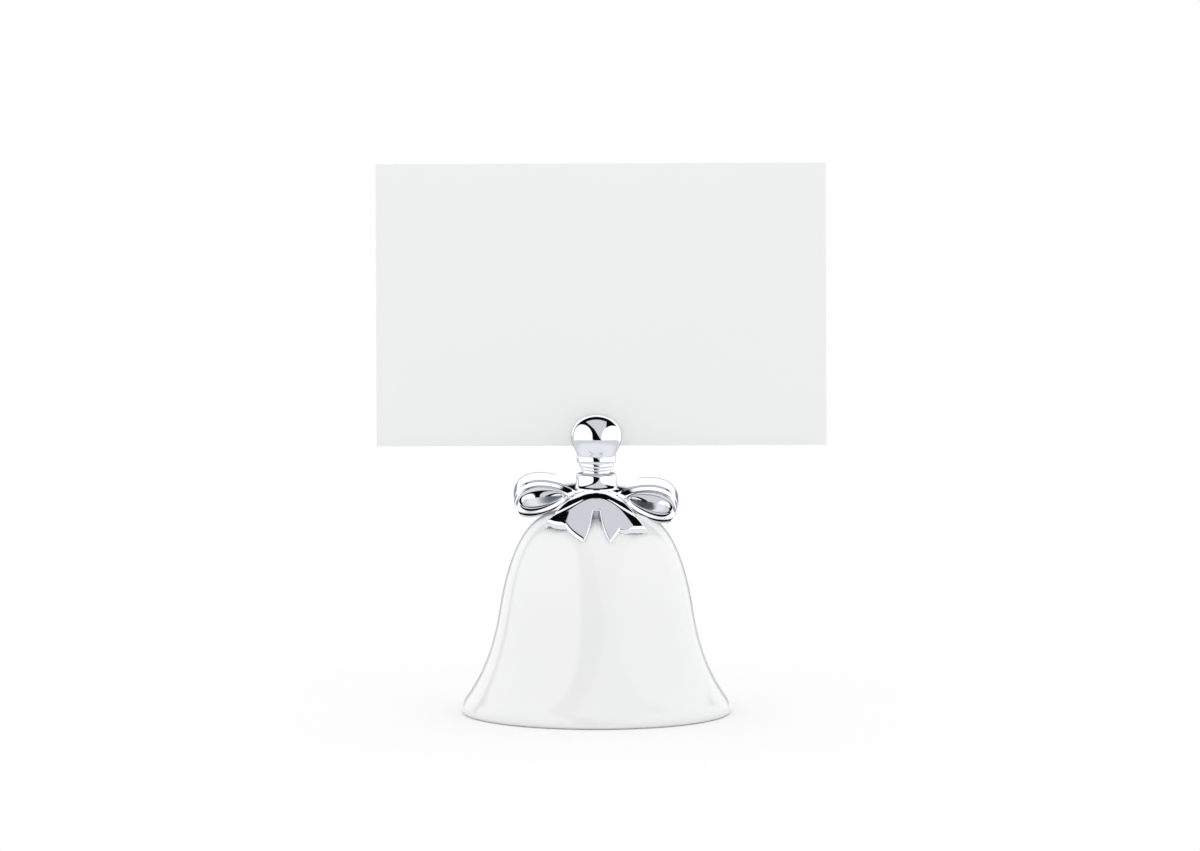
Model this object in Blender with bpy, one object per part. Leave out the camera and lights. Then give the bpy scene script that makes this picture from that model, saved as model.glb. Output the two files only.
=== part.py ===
"""Bell-shaped menu card holder: a porcelain bell, a cast ribbon bow and a slotted finial.

A threaded stud clamps the stack through the crown of the bell. From the top down it holds the
finial, the bow's knot, the lugs of the two loops, the collar of the tails, a gasket, the bell's
crown, a second gasket, a washer and a nut. The card stands in the slot of the finial.

Metres and degrees, +Z up. The origin is on the bell's axis at the table, and the front faces -Y.
"""

import math
from collections import namedtuple

import bmesh
import bpy
import numpy as np

# Clearances between pieces
SEAT_GAP = 0.0003
BORE_GAP = 0.0003
CARD_GAP = 0.0003

# Bell: the outline runs from the crown over the shoulder and the waist to the lip
BELL_HEIGHT = 0.0386
BELL_WALL = 0.0022
BELL_CROWN_RADIUS = 0.0064
BELL_SHOULDER_PULL = 0.0067
BELL_WAIST_RADIUS = 0.0184
BELL_WAIST_HEIGHT = 0.0200
BELL_WAIST_LEAN = 9.4
BELL_WAIST_PULL_UP = 0.0113
BELL_WAIST_PULL_DOWN = 0.0072
BELL_LIP_RADIUS = 0.02485
BELL_LIP_HEIGHT = 0.0029
BELL_LIP_LEAN = 35.5
BELL_LIP_PULL = 0.0062
BELL_LIP_ROUND = 0.0019
BELL_FOOT_ROUND = 0.0009
BELL_FOOT_OUTSET = 0.0001
BELL_FOOT_WIDTH = 0.0010

# Stud, nut, washer and gaskets
STUD_RADIUS = 0.0015
STUD_CHAMFER = 0.0005
STUD_BEYOND_NUT = 0.0007
NUT_ACROSS_FLATS = 0.0055
NUT_HEIGHT = 0.0024
NUT_CHAMFER_ANGLE = 30.0
WASHER_WIDTH = 0.0017
WASHER_THICKNESS = 0.0005
INNER_GASKET_WIDTH = 0.0028
INNER_GASKET_THICKNESS = 0.0006
CROWN_GASKET_BORDER = 0.0004
CROWN_GASKET_THICKNESS = 0.0006
RING_EDGE = 0.0001

# Ribbon loops: a puffed teardrop in the XZ plane with a recess front and back, and a flat lug
LUG_WIDTH = 0.0016
LUG_THICKNESS = 0.0013
LUG_NECK_DEPTH = 0.0026
LOOP_ROOT_INSET = 0.0002
LOOP_TIP_X = 0.0159
LOOP_HALF_HEIGHT = 0.00345
LOOP_FATNESS = 0.60
LOOP_TIP_DROP = 0.0016
LOOP_ROOT_RISE = 0.0003
LOOP_ROOT_DEPTH = 0.0018
LOOP_BELLY_DEPTH = 0.0039
LOOP_CREASE_FROM_ROOT = 0.0040
LOOP_CREASE_FROM_TIP = 0.0031
LOOP_CREASE_DEPTH_SHARE = 0.30
LOOP_WALL_DEPTH_SHARE = 0.94
LOOP_WALL_POWER = 1.3
LOOP_SIDE_DEPTH_SHARE = 0.97
LOOP_RIM_INNER = 0.62
LOOP_RIM_WIDTH = 0.12
LEFT_LOOP_TILT = 2.6
RIGHT_LOOP_TILT = -2.6

# Ribbon tails on their collar, draped over the shoulder of the bell
# Angles are counted about Z from the front, and each tip is placed from the one before it
COLLAR_HEIGHT = 0.0015
COLLAR_ROUND = 0.0005
TAIL_ROOT_GAP = 0.0005
TAIL_ROOT_LAP = 0.0005
TAIL_ROOT_INNER_ANGLE = 2.0
TAIL_ROOT_OUTER_ANGLE = 66.0
TAIL_THICKNESS = 0.0011
TAIL_SETTLE = 0.0024
TAIL_VALLEY_LENGTH = 0.0010
TAIL_CREST_LENGTH = 0.0024
TAIL_CREST_RISE = 0.0003
TAIL_CREST_START = 0.5
TAIL_CREST_SHARE = 0.42
TAIL_OUTER_SHARE = 0.45
LEFT_INNER_TIP_ANGLE = 9.6
LEFT_INNER_TIP_RADIUS = 0.0141
LEFT_NOTCH_TURN = 19.4
LEFT_NOTCH_RADIUS = 0.0120
LEFT_OUTER_TIP_TURN = 24.0
LEFT_OUTER_TIP_RADIUS = 0.0123
RIGHT_INNER_TIP_ANGLE = 10.6
RIGHT_INNER_TIP_RADIUS = 0.0142
RIGHT_NOTCH_TURN = 9.9
RIGHT_NOTCH_RADIUS = 0.0128
RIGHT_OUTER_TIP_TURN = 26.1
RIGHT_OUTER_TIP_RADIUS = 0.0133
FOLD_ANGLE = 5.0
FOLD_REACH = 0.0070
FOLD_CROWN = 0.0002

# Knot: a drum that flares towards its foot
KNOT_RADIUS = 0.00378
KNOT_HEIGHT = 0.00265
KNOT_FLARE = 0.00025
KNOT_FLARE_POWER = 3.5
KNOT_ROUND = 0.0004

# Finial: a slotted bulb on a neck of turned beads
BULB_RADIUS = 0.00482
BULB_DOME_HEIGHT = 0.0041
BULB_TAPER_HEIGHT = 0.0037
BULB_BELLY_PULL = 0.0015
BULB_FOOT_RADIUS = 0.0036
BULB_FOOT_LEAN = 20.0
BULB_FOOT_PULL = 0.0009
BEAD_1_RADIUS = 0.00374
BEAD_1_HEIGHT = 0.0014
BEAD_2_RADIUS = 0.00325
BEAD_2_HEIGHT = 0.0008
BEAD_3_RADIUS = 0.00297
BEAD_3_HEIGHT = 0.0006
BEAD_4_RADIUS = 0.0027
BEAD_4_HEIGHT = 0.0004
BEAD_GROOVE = 0.00015
SLOT_DEPTH = 0.0060
SLOT_WEB = 0.0013

# Menu card
CARD_WIDTH = 0.0856
CARD_HEIGHT = 0.0540
CARD_THICKNESS = 0.0005
CARD_SHIFT = 0.0006

# Facets of the turned pieces, steps of the curves, and tolerances of the meshes
BELL_SEGMENTS = 44
FINIAL_SEGMENTS = 32
RING_SEGMENTS = 24
SHOULDER_STEPS = 8
FLARE_STEPS = 9
LIP_STEPS = 5
CORNER_STEPS = 5
KNOT_STEPS = 6
BEAD_STEPS = 6
DOME_STEPS = 10
TAPER_STEPS = 6
LUG_STEPS = 8
BORE_STEPS = 13
LOOP_STEPS = 28
WALL_STEPS = 4
SIDE_STEPS = 6
TAIL_STEPS = 10
TAIL_ROW_POWER = 1.4
FOLD_STEPS = 7
DRAPE_STEPS = 40
SHARP_ANGLE = 40.0
MERGE_DISTANCE = 1e-6
CUT_PAST = 0.002

# Radii round the stud, from the bore outwards
BORE = STUD_RADIUS + BORE_GAP
WASHER_RADIUS = BORE + WASHER_WIDTH
INNER_GASKET_RADIUS = BORE + INNER_GASKET_WIDTH
LOOP_ROOT_X = BORE + LOOP_ROOT_INSET
LUG_RADIUS = BORE + LUG_WIDTH
TAIL_ROOT_RADIUS = LUG_RADIUS + TAIL_ROOT_GAP
COLLAR_RADIUS = TAIL_ROOT_RADIUS + TAIL_ROOT_LAP
CROWN_GASKET_RADIUS = COLLAR_RADIUS + CROWN_GASKET_BORDER

# Heights of the stack on the stud, from the crown up and from the crown down
GASKET_Z = BELL_HEIGHT + SEAT_GAP
COLLAR_Z = GASKET_Z + CROWN_GASKET_THICKNESS + SEAT_GAP
LUG_Z = COLLAR_Z + COLLAR_HEIGHT + SEAT_GAP
LUG_MIDDLE_Z = LUG_Z + LUG_THICKNESS / 2
KNOT_Z = LUG_Z + LUG_THICKNESS + SEAT_GAP
KNOT_TOP = KNOT_Z + KNOT_HEIGHT
FINIAL_Z = KNOT_TOP + SEAT_GAP
NECK_HEIGHT = BEAD_1_HEIGHT + BEAD_2_HEIGHT + BEAD_3_HEIGHT + BEAD_4_HEIGHT
BULB_Z = FINIAL_Z + NECK_HEIGHT + BULB_TAPER_HEIGHT
SLOT_Z = BULB_Z + BULB_DOME_HEIGHT - SLOT_DEPTH
STUD_HOLE_TOP = SLOT_Z - SLOT_WEB
INNER_GASKET_Z = BELL_HEIGHT - BELL_WALL - SEAT_GAP - INNER_GASKET_THICKNESS
WASHER_Z = INNER_GASKET_Z - SEAT_GAP - WASHER_THICKNESS
NUT_Z = WASHER_Z - SEAT_GAP - NUT_HEIGHT

# A tail runs out to two tips with a notch between them, on one side of the front
Tail = namedtuple("Tail", "side tip tip_radius notch notch_radius outer outer_radius")
LEFT_TAIL = Tail(
    side=-1,
    tip=LEFT_INNER_TIP_ANGLE,
    tip_radius=LEFT_INNER_TIP_RADIUS,
    notch=LEFT_INNER_TIP_ANGLE + LEFT_NOTCH_TURN,
    notch_radius=LEFT_NOTCH_RADIUS,
    outer=LEFT_INNER_TIP_ANGLE + LEFT_NOTCH_TURN + LEFT_OUTER_TIP_TURN,
    outer_radius=LEFT_OUTER_TIP_RADIUS,
)
RIGHT_TAIL = Tail(
    side=1,
    tip=RIGHT_INNER_TIP_ANGLE,
    tip_radius=RIGHT_INNER_TIP_RADIUS,
    notch=RIGHT_INNER_TIP_ANGLE + RIGHT_NOTCH_TURN,
    notch_radius=RIGHT_NOTCH_RADIUS,
    outer=RIGHT_INNER_TIP_ANGLE + RIGHT_NOTCH_TURN + RIGHT_OUTER_TIP_TURN,
    outer_radius=RIGHT_OUTER_TIP_RADIUS,
)


def remove_everything():
    for thing in list(bpy.data.objects):
        bpy.data.objects.remove(thing, do_unlink=True)


def finish(name, colour, roughness, metallic):
    """A Principled BSDF material with the piece's own colour."""
    material = bpy.data.materials.new(name)
    material.use_nodes = True
    shader = material.node_tree.nodes["Principled BSDF"]
    shader.inputs["Base Color"].default_value = (*colour, 1.0)
    shader.inputs["Roughness"].default_value = roughness
    shader.inputs["Metallic"].default_value = metallic
    return material


def add_object(name, mesh, material=None):
    piece = bpy.data.objects.new(name, mesh)
    bpy.context.scene.collection.objects.link(piece)
    if material:
        mesh.materials.append(material)
    return piece


def make_cutter(piece):
    """A guide for a Boolean, left out of the model."""
    piece.hide_render = True
    piece.display_type = "WIRE"
    return piece


def boolean(piece, other, operation):
    step = piece.modifiers.new(f"{operation.lower()} {other.name}", "BOOLEAN")
    step.operation = operation
    step.solver = "EXACT"
    step.object = other


def mesh_of(name, points, faces):
    """A closed mesh from points and faces, with equal points merged and faces turned out."""
    mesh = bpy.data.meshes.new(name)
    mesh.from_pydata(points.reshape(-1, 3).tolist(), [], faces)
    work = bmesh.new()
    work.from_mesh(mesh)
    bmesh.ops.remove_doubles(work, verts=work.verts, dist=MERGE_DISTANCE)
    bmesh.ops.recalc_face_normals(work, faces=work.faces)
    work.to_mesh(mesh)
    work.free()
    mesh.shade_smooth()
    mesh.set_sharp_from_angle(angle=math.radians(SHARP_ANGLE))
    return mesh


def box_mesh(name, width, depth, height, bottom):
    """A box centred on the Z axis, standing at a height."""
    work = bmesh.new()
    bmesh.ops.create_cube(work, size=1.0)
    bmesh.ops.scale(work, vec=(width, depth, height), verts=work.verts)
    bmesh.ops.translate(work, vec=(0.0, 0.0, bottom + height / 2), verts=work.verts)
    mesh = bpy.data.meshes.new(name)
    work.to_mesh(mesh)
    work.free()
    return mesh


def turned(name, profile, segments, material=None):
    """A profile of (radius, height) points turned about Z. It runs down the outer side first.

    A profile that starts and ends on the axis stays open, and any other one is closed.
    """
    points = [(r, 0.0, z) for r, z in profile]
    edges = [(i, i + 1) for i in range(len(points) - 1)]
    if profile[0][0] > 0 or profile[-1][0] > 0:
        edges.append((len(points) - 1, 0))
    mesh = bpy.data.meshes.new(name)
    mesh.from_pydata(points, edges, [])
    piece = add_object(name, mesh, material)
    screw = piece.modifiers.new("turn", "SCREW")
    screw.axis = "Z"
    screw.angle = 2 * math.pi
    screw.steps = segments
    screw.render_steps = segments
    screw.use_merge_vertices = True
    screw.merge_threshold = MERGE_DISTANCE
    screw.use_smooth_shade = True
    return piece


def bezier(start, start_pull, end_pull, end, count):
    """Points on a cubic Bezier curve, with the last one left to the next stretch."""
    t = np.linspace(0.0, 1.0, count, endpoint=False)[:, None]
    corners = [np.array(p) for p in (start, start_pull, end_pull, end)]
    weights = ((1 - t) ** 3, 3 * (1 - t) ** 2 * t, 3 * (1 - t) * t**2, t**3)
    return sum(w * p for w, p in zip(weights, corners))


def along(point, direction, length):
    return (point[0] + direction[0] * length, point[1] + direction[1] * length)


def leaning(degrees):
    """The unit step down and outwards at this angle from the vertical."""
    return (math.sin(math.radians(degrees)), -math.cos(math.radians(degrees)))


def corner(radius, top, size):
    """A quarter round at a top edge, from the flat face over to the upright side."""
    angles = np.linspace(0, math.pi / 2, CORNER_STEPS)
    return [(radius - size * (1 - math.sin(a)), top - size * (1 - math.cos(a))) for a in angles]


def smooth(value):
    value = np.clip(value, 0.0, 1.0)
    return value * value * (3 - 2 * value)


def bell_outline(shoulder_steps, flare_steps):
    """The outer side of the bell from the edge of its crown down to the start of the lip."""
    crown = (BELL_CROWN_RADIUS, BELL_HEIGHT)
    waist = (BELL_WAIST_RADIUS, BELL_WAIST_HEIGHT)
    lip = (BELL_LIP_RADIUS, BELL_LIP_HEIGHT)
    waist_way = leaning(BELL_WAIST_LEAN)
    lip_way = leaning(BELL_LIP_LEAN)
    shoulder = bezier(
        crown,
        along(crown, (1, 0), BELL_SHOULDER_PULL),
        along(waist, waist_way, -BELL_WAIST_PULL_UP),
        waist,
        shoulder_steps,
    )
    flare = bezier(
        waist,
        along(waist, waist_way, BELL_WAIST_PULL_DOWN),
        along(lip, lip_way, -BELL_LIP_PULL),
        lip,
        flare_steps,
    )
    return np.vstack([shoulder, flare, [lip]])


def moved_in(outline, distance):
    """The bell's outline moved towards the inside along its own normal."""
    slope = np.gradient(outline, axis=0)
    slope /= np.linalg.norm(slope, axis=1)[:, None]
    slope[0] = (1, 0)
    inward = np.column_stack([slope[:, 1], -slope[:, 0]])
    return outline + inward * distance


def lip_round(lip, foot):
    """The rounded lip from the end of the outline to the flat foot ring."""
    lip_pull = along(lip, leaning(BELL_LIP_LEAN), BELL_LIP_ROUND)
    foot_pull = along(foot, (1, 0), BELL_FOOT_ROUND)
    return bezier(lip, lip_pull, foot_pull, foot, LIP_STEPS)


def make_bell(material):
    """The bell as one even wall, open below, with a stud hole through its flat crown."""
    outer = bell_outline(SHOULDER_STEPS, FLARE_STEPS)
    inner = moved_in(outer, BELL_WALL)[::-1]
    foot = (BELL_LIP_RADIUS + BELL_FOOT_OUTSET, 0.0)
    profile = [
        (BORE, BELL_HEIGHT),
        *outer[:-1].tolist(),
        *lip_round(outer[-1], foot).tolist(),
        foot,
        (foot[0] - BELL_FOOT_WIDTH, 0.0),
        *inner.tolist(),
        (BORE, BELL_HEIGHT - BELL_WALL),
    ]
    return turned("bell_shell", profile, BELL_SEGMENTS, material)


def make_ring(name, radius, bottom, thickness, material):
    """A flat ring round the stud, with a small edge break."""
    top = bottom + thickness
    profile = [
        (BORE, top),
        (radius - RING_EDGE, top),
        (radius, top - RING_EDGE),
        (radius, bottom + RING_EDGE),
        (radius - RING_EDGE, bottom),
        (BORE, bottom),
    ]
    return turned(name, profile, RING_SEGMENTS, material)


def make_nut(material):
    """A hexagon nut, turned with its chamfers first and then cut to its six flats."""
    flat = NUT_ACROSS_FLATS / 2
    point = NUT_ACROSS_FLATS / math.sqrt(3)
    chamfer = (point - flat) * math.tan(math.radians(NUT_CHAMFER_ANGLE))
    top = NUT_Z + NUT_HEIGHT
    profile = [
        (BORE, top),
        (flat, top),
        (point, top - chamfer),
        (point, NUT_Z + chamfer),
        (flat, NUT_Z),
        (BORE, NUT_Z),
    ]
    nut = turned("clamp_nut", profile, RING_SEGMENTS, material)
    work = bmesh.new()
    bmesh.ops.create_cone(
        work,
        cap_ends=True,
        segments=6,
        radius1=point,
        radius2=point,
        depth=NUT_HEIGHT + 2 * CUT_PAST,
    )
    bmesh.ops.translate(work, vec=(0, 0, NUT_Z + NUT_HEIGHT / 2), verts=work.verts)
    mesh = bpy.data.meshes.new("hexagon")
    work.to_mesh(mesh)
    work.free()
    boolean(nut, make_cutter(add_object("hexagon", mesh)), "INTERSECT")
    return nut


def make_stud(material):
    """The threaded rod from the blind hole of the finial to just below the nut."""
    top = STUD_HOLE_TOP - SEAT_GAP
    bottom = NUT_Z - STUD_BEYOND_NUT
    profile = [
        (0.0, top),
        (STUD_RADIUS - STUD_CHAMFER, top),
        (STUD_RADIUS, top - STUD_CHAMFER),
        (STUD_RADIUS, bottom + STUD_CHAMFER),
        (STUD_RADIUS - STUD_CHAMFER, bottom),
        (0.0, bottom),
    ]
    return turned("clamp_stud", profile, RING_SEGMENTS, material)


def drape(radius):
    """The height of the bell's outer side, plus the seat gap, at a distance from its axis."""
    outline = bell_outline(DRAPE_STEPS, DRAPE_STEPS)
    return np.interp(radius, outline[:, 0], outline[:, 1]) + SEAT_GAP


def underside(radius):
    """The underside of the tails: over the crown gasket by the stud, on the bell further out."""
    lift = CROWN_GASKET_THICKNESS + SEAT_GAP
    way_out = (radius - CROWN_GASKET_RADIUS - SEAT_GAP) / TAIL_SETTLE
    return drape(radius) + lift * (1 - smooth(way_out))


def ribbon_rise(radius, length):
    """The height of the ribbon above its drape: up to the knot's foot, falling off outwards."""
    rise = KNOT_Z - SEAT_GAP - drape(TAIL_ROOT_RADIUS) - TAIL_THICKNESS
    return rise * np.exp(-np.clip(radius - TAIL_ROOT_RADIUS, 0, None) / length)


def round_the_axis(side, radius, angle, height):
    """Points at a distance from the axis and at an angle from the front."""
    return np.stack([side * radius * np.sin(angle), -radius * np.cos(angle), height], axis=-1)


def tail_surfaces(tail, margin):
    """The top and the underside of one tail, as two grids of points.

    A point lies at a share s of the way from the root to the swallow-tail end, and at a share f
    of the way across from the inner to the outer edge. The ribbon falls from the foot of the knot
    to the drape of the bell, quickly along its inner edge and slowly along its crest.
    """
    split = (tail.notch - tail.tip) / (tail.outer - tail.tip)
    half = TAIL_STEPS // 2
    to_notch = np.linspace(0, split, half, endpoint=False)
    across = np.concatenate([to_notch, np.linspace(split, 1, half + 1)])
    rows = np.linspace(0, 1, TAIL_STEPS + 1) ** TAIL_ROW_POWER
    s, f = np.meshgrid(rows, across, indexing="ij")

    ends = (tail.tip_radius, tail.notch_radius, tail.outer_radius)
    reach = np.interp(f, (0, split, 1), ends) + margin
    root = TAIL_ROOT_RADIUS - margin
    radius = root + (reach - root) * s
    spread = np.degrees(margin / radius)
    inner = TAIL_ROOT_INNER_ANGLE + (tail.tip - TAIL_ROOT_INNER_ANGLE) * s - spread
    outer = TAIL_ROOT_OUTER_ANGLE + (tail.outer - TAIL_ROOT_OUTER_ANGLE) * s**2 + spread
    angle = np.radians(inner + (outer - inner) * f)

    valley = ribbon_rise(radius, TAIL_VALLEY_LENGTH)
    crest = ribbon_rise(radius, TAIL_CREST_LENGTH) + TAIL_CREST_RISE * smooth(s / TAIL_CREST_START)
    to_inner = np.clip(1 - f / TAIL_CREST_SHARE, 0, 1)
    to_outer = np.clip((f - TAIL_CREST_SHARE) / (1 - TAIL_CREST_SHARE), 0, 1)
    arch = 1 - to_inner**2 - (1 - TAIL_OUTER_SHARE) * to_outer**2
    top = drape(radius) + TAIL_THICKNESS + valley + (crest - valley) * arch + margin
    under = underside(radius) - margin
    return [round_the_axis(tail.side, radius, angle, height) for height in (top, under)]


def fold_surfaces():
    """The narrow fold between the tails, crowned across, down to the top of the slit."""
    steps = np.linspace(0, 1, FOLD_STEPS)
    s, f = np.meshgrid(steps, 2 * steps - 1, indexing="ij")
    radius = TAIL_ROOT_RADIUS + (FOLD_REACH - TAIL_ROOT_RADIUS) * s
    crown = FOLD_CROWN * (1 - f**2) * smooth(s / TAIL_CREST_START)
    top = drape(radius) + TAIL_THICKNESS + ribbon_rise(radius, TAIL_VALLEY_LENGTH) + crown
    angle = np.radians(FOLD_ANGLE) * f
    return [round_the_axis(1, radius, angle, height) for height in (top, underside(radius))]


def slab(name, surfaces):
    """A closed plate between two grids of points of the same shape."""
    top, under = surfaces
    rows, columns = top.shape[:2]
    count = rows * columns
    index = np.arange(count).reshape(rows, columns)
    quads = np.stack([index[:-1, :-1], index[:-1, 1:], index[1:, 1:], index[1:, :-1]], axis=-1)
    quads = quads.reshape(-1, 4)
    border = np.concatenate([index[0, :-1], index[:-1, -1], index[-1, :0:-1], index[:0:-1, 0]])
    after = np.roll(border, -1)
    edge = np.column_stack([border, after, after + count, border + count])
    faces = np.vstack([quads, quads[:, ::-1] + count, edge])
    return mesh_of(name, np.stack([top, under]), faces.tolist())


def make_collar(name, margin, material=None):
    """The ring under the lugs of the loops, or the space that it needs with a margin all round."""
    radius = COLLAR_RADIUS + margin
    top = COLLAR_Z + COLLAR_HEIGHT + margin
    bottom = COLLAR_Z - margin
    bore = BORE - margin
    profile = [(bore, top), *corner(radius, top, COLLAR_ROUND), (radius, bottom), (bore, bottom)]
    return turned(name, profile, RING_SEGMENTS, material)


def make_tail(name, tail, margin):
    """One tail as a solid plate, or the space that it needs with a margin all round."""
    return make_cutter(add_object(name, slab(name, tail_surfaces(tail, margin))))


def make_tails(material):
    """The collar with the two tails and the small fold between them, as one casting."""
    tails = make_collar("bow_tails", 0.0, material)
    boolean(tails, make_tail("left tail", LEFT_TAIL, 0.0), "UNION")
    boolean(tails, make_tail("right tail", RIGHT_TAIL, 0.0), "UNION")
    boolean(tails, make_cutter(add_object("fold", slab("fold", fold_surfaces()))), "UNION")
    return tails


def loop_section():
    """Half of the loop's cross-section, as shares of the way out and of the depth.

    It climbs the wall of the recess from the crease, passes over the rim and rounds the side.
    """
    climb = np.linspace(0, 1, WALL_STEPS)
    turn = np.linspace(0, math.pi / 2, SIDE_STEPS)
    wall_depth = LOOP_WALL_DEPTH_SHARE - LOOP_CREASE_DEPTH_SHARE
    wall = [LOOP_RIM_INNER * climb, LOOP_CREASE_DEPTH_SHARE + wall_depth * climb**LOOP_WALL_POWER]
    rim = [LOOP_RIM_INNER + LOOP_RIM_WIDTH / 2, 1.0]
    start = LOOP_RIM_INNER + LOOP_RIM_WIDTH
    side = [start + (1 - start) * np.sin(turn), LOOP_SIDE_DEPTH_SHARE * np.cos(turn)]
    return np.vstack([np.column_stack(wall), rim, np.column_stack(side)])


def loop_surface(side, tilt):
    """One puffed loop as rings of points, from the crease of its front recess to that of its back.

    A ring goes round the teardrop by the angle t. It lies at a share of the way from the crease
    to the outline and at a share of the loop's depth, as the cross-section says.
    """
    front = loop_section()
    section = np.vstack([front, front[-2::-1] * (1, -1)])
    share = section[:, 0, None]
    depth = section[:, 1, None]
    t = np.arange(LOOP_STEPS) * 2 * math.pi / LOOP_STEPS

    length = LOOP_TIP_X - LOOP_ROOT_X
    x = LOOP_ROOT_X + length * (1 + np.cos(t)) / 2
    height = LOOP_HALF_HEIGHT * np.sin(t) * (1 + LOOP_FATNESS * np.cos(t))
    z = LOOP_ROOT_RISE - LOOP_TIP_DROP * smooth((x - LOOP_ROOT_X) / length) + height
    crease_start = LOOP_ROOT_X + LOOP_CREASE_FROM_ROOT
    crease_end = LOOP_TIP_X - LOOP_CREASE_FROM_TIP
    crease_x = crease_start + (crease_end - crease_start) * (1 + np.cos(t)) / 2
    crease_z = -LOOP_TIP_DROP * smooth((crease_x - LOOP_ROOT_X) / length)

    px = crease_x + (x - crease_x) * share
    pz = crease_z + (z - crease_z) * share
    belly = smooth((px - LOOP_ROOT_X) / (crease_end - LOOP_ROOT_X))
    py = -depth * (LOOP_ROOT_DEPTH + (LOOP_BELLY_DEPTH - LOOP_ROOT_DEPTH) * belly)
    cos = math.cos(math.radians(tilt))
    sin = math.sin(math.radians(tilt))
    return np.stack([side * (px * cos - pz * sin), py, px * sin + pz * cos + LUG_MIDDLE_Z], axis=-1)


def make_lug(name, side):
    """Half a flat eye round the stud, with a neck that runs out into the loop."""
    half_gap = SEAT_GAP / 2
    neck = LUG_NECK_DEPTH / 2
    neck_angle = math.asin(neck / LUG_RADIUS)
    end_angle = math.acos(half_gap / LUG_RADIUS)
    bore_angle = math.acos(half_gap / BORE)
    round_angles = np.linspace(neck_angle, end_angle, LUG_STEPS)
    upper = [(LUG_RADIUS * math.cos(a), LUG_RADIUS * math.sin(a)) for a in round_angles]
    bore_angles = np.linspace(bore_angle, -bore_angle, BORE_STEPS)
    bore = [(BORE * math.cos(a), BORE * math.sin(a)) for a in bore_angles]
    lower = [(x, -y) for x, y in reversed(upper)]
    outline = [(LUG_RADIUS, -neck), (LUG_RADIUS, neck), *upper, *bore, *lower]

    work = bmesh.new()
    face = work.faces.new([work.verts.new((side * x, side * y, LUG_Z)) for x, y in outline])
    raised = bmesh.ops.extrude_face_region(work, geom=[face])
    moved = [v for v in raised["geom"] if isinstance(v, bmesh.types.BMVert)]
    bmesh.ops.translate(work, vec=(0, 0, LUG_THICKNESS), verts=moved)
    bmesh.ops.recalc_face_normals(work, faces=work.faces)
    mesh = bpy.data.meshes.new(name)
    work.to_mesh(mesh)
    work.free()
    return make_cutter(add_object(name, mesh))


def make_loop(name, side, tilt, cutters, material):
    """A loop cut clear of its neighbours, with the lug that the knot clamps."""
    rings = loop_surface(side, tilt)
    index = np.arange(rings.shape[0] * rings.shape[1]).reshape(rings.shape[:2])
    after = np.roll(index, -1, axis=1)
    quads = np.stack([index[:-1], after[:-1], after[1:], index[1:]], axis=-1)
    loop = add_object(name, mesh_of(name, rings, quads.reshape(-1, 4).tolist()), material)
    for cutter in cutters:
        boolean(loop, cutter, "DIFFERENCE")
    boolean(loop, make_lug(f"{name} lug", side), "UNION")
    return loop


def knot_side(margin):
    """The side of the knot, rounded at its top and flaring to its foot."""
    start = KNOT_TOP - KNOT_ROUND
    fall = np.linspace(0, 1, KNOT_STEPS)[1:]
    flare = [(KNOT_RADIUS + KNOT_FLARE * u**KNOT_FLARE_POWER, start + (KNOT_Z - start) * u) for u in fall]
    return [(r + margin, z) for r, z in corner(KNOT_RADIUS, KNOT_TOP, KNOT_ROUND) + flare]


def make_knot(material):
    """The drum that clamps the lugs of the loops."""
    profile = [(BORE, KNOT_TOP), *knot_side(0.0), (BORE, KNOT_Z)]
    return turned("bow_knot", profile, FINIAL_SEGMENTS, material)


def make_knot_clearance():
    """The space of the knot with its seat gap, which the roots of the loops keep free."""
    side = knot_side(SEAT_GAP)
    foot = KNOT_Z - SEAT_GAP / 2
    profile = [(0.0, KNOT_TOP + SEAT_GAP), *side, (side[-1][0], foot), (0.0, foot)]
    return make_cutter(turned("knot clearance", profile, FINIAL_SEGMENTS))


def make_bell_clearance():
    """The outer side of the bell with its seat gap, which the undersides of the loops keep free."""
    outline = moved_in(bell_outline(SHOULDER_STEPS, FLARE_STEPS), -SEAT_GAP)
    profile = [(0.0, outline[0][1]), *outline.tolist(), (0.0, outline[-1][1])]
    return make_cutter(turned("bell clearance", profile, BELL_SEGMENTS))


def bead(radius, top, height):
    """A turned half-round bead, between two grooves."""
    angles = np.linspace(0, math.pi, BEAD_STEPS)
    groove = radius - BEAD_GROOVE
    return [(groove + BEAD_GROOVE * math.sin(a), top - height * (1 - math.cos(a)) / 2) for a in angles]


def finial_outline():
    """The bulb from its pole to its foot, then the beads of the neck down to the seat."""
    angles = np.linspace(0, math.pi / 2, DOME_STEPS)[:-1]
    outline = [(BULB_RADIUS * math.sin(a), BULB_Z + BULB_DOME_HEIGHT * math.cos(a)) for a in angles]
    belly = (BULB_RADIUS, BULB_Z)
    foot = (BULB_FOOT_RADIUS, BULB_Z - BULB_TAPER_HEIGHT)
    belly_pull = along(belly, (0, -1), BULB_BELLY_PULL)
    foot_pull = along(foot, leaning(-BULB_FOOT_LEAN), -BULB_FOOT_PULL)
    outline += bezier(belly, belly_pull, foot_pull, foot, TAPER_STEPS).tolist()
    beads = (
        (BEAD_1_RADIUS, BEAD_1_HEIGHT),
        (BEAD_2_RADIUS, BEAD_2_HEIGHT),
        (BEAD_3_RADIUS, BEAD_3_HEIGHT),
        (BEAD_4_RADIUS, BEAD_4_HEIGHT),
    )
    top = foot[1]
    for radius, height in beads:
        outline += bead(radius, top, height)
        top -= height
    return outline


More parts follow.
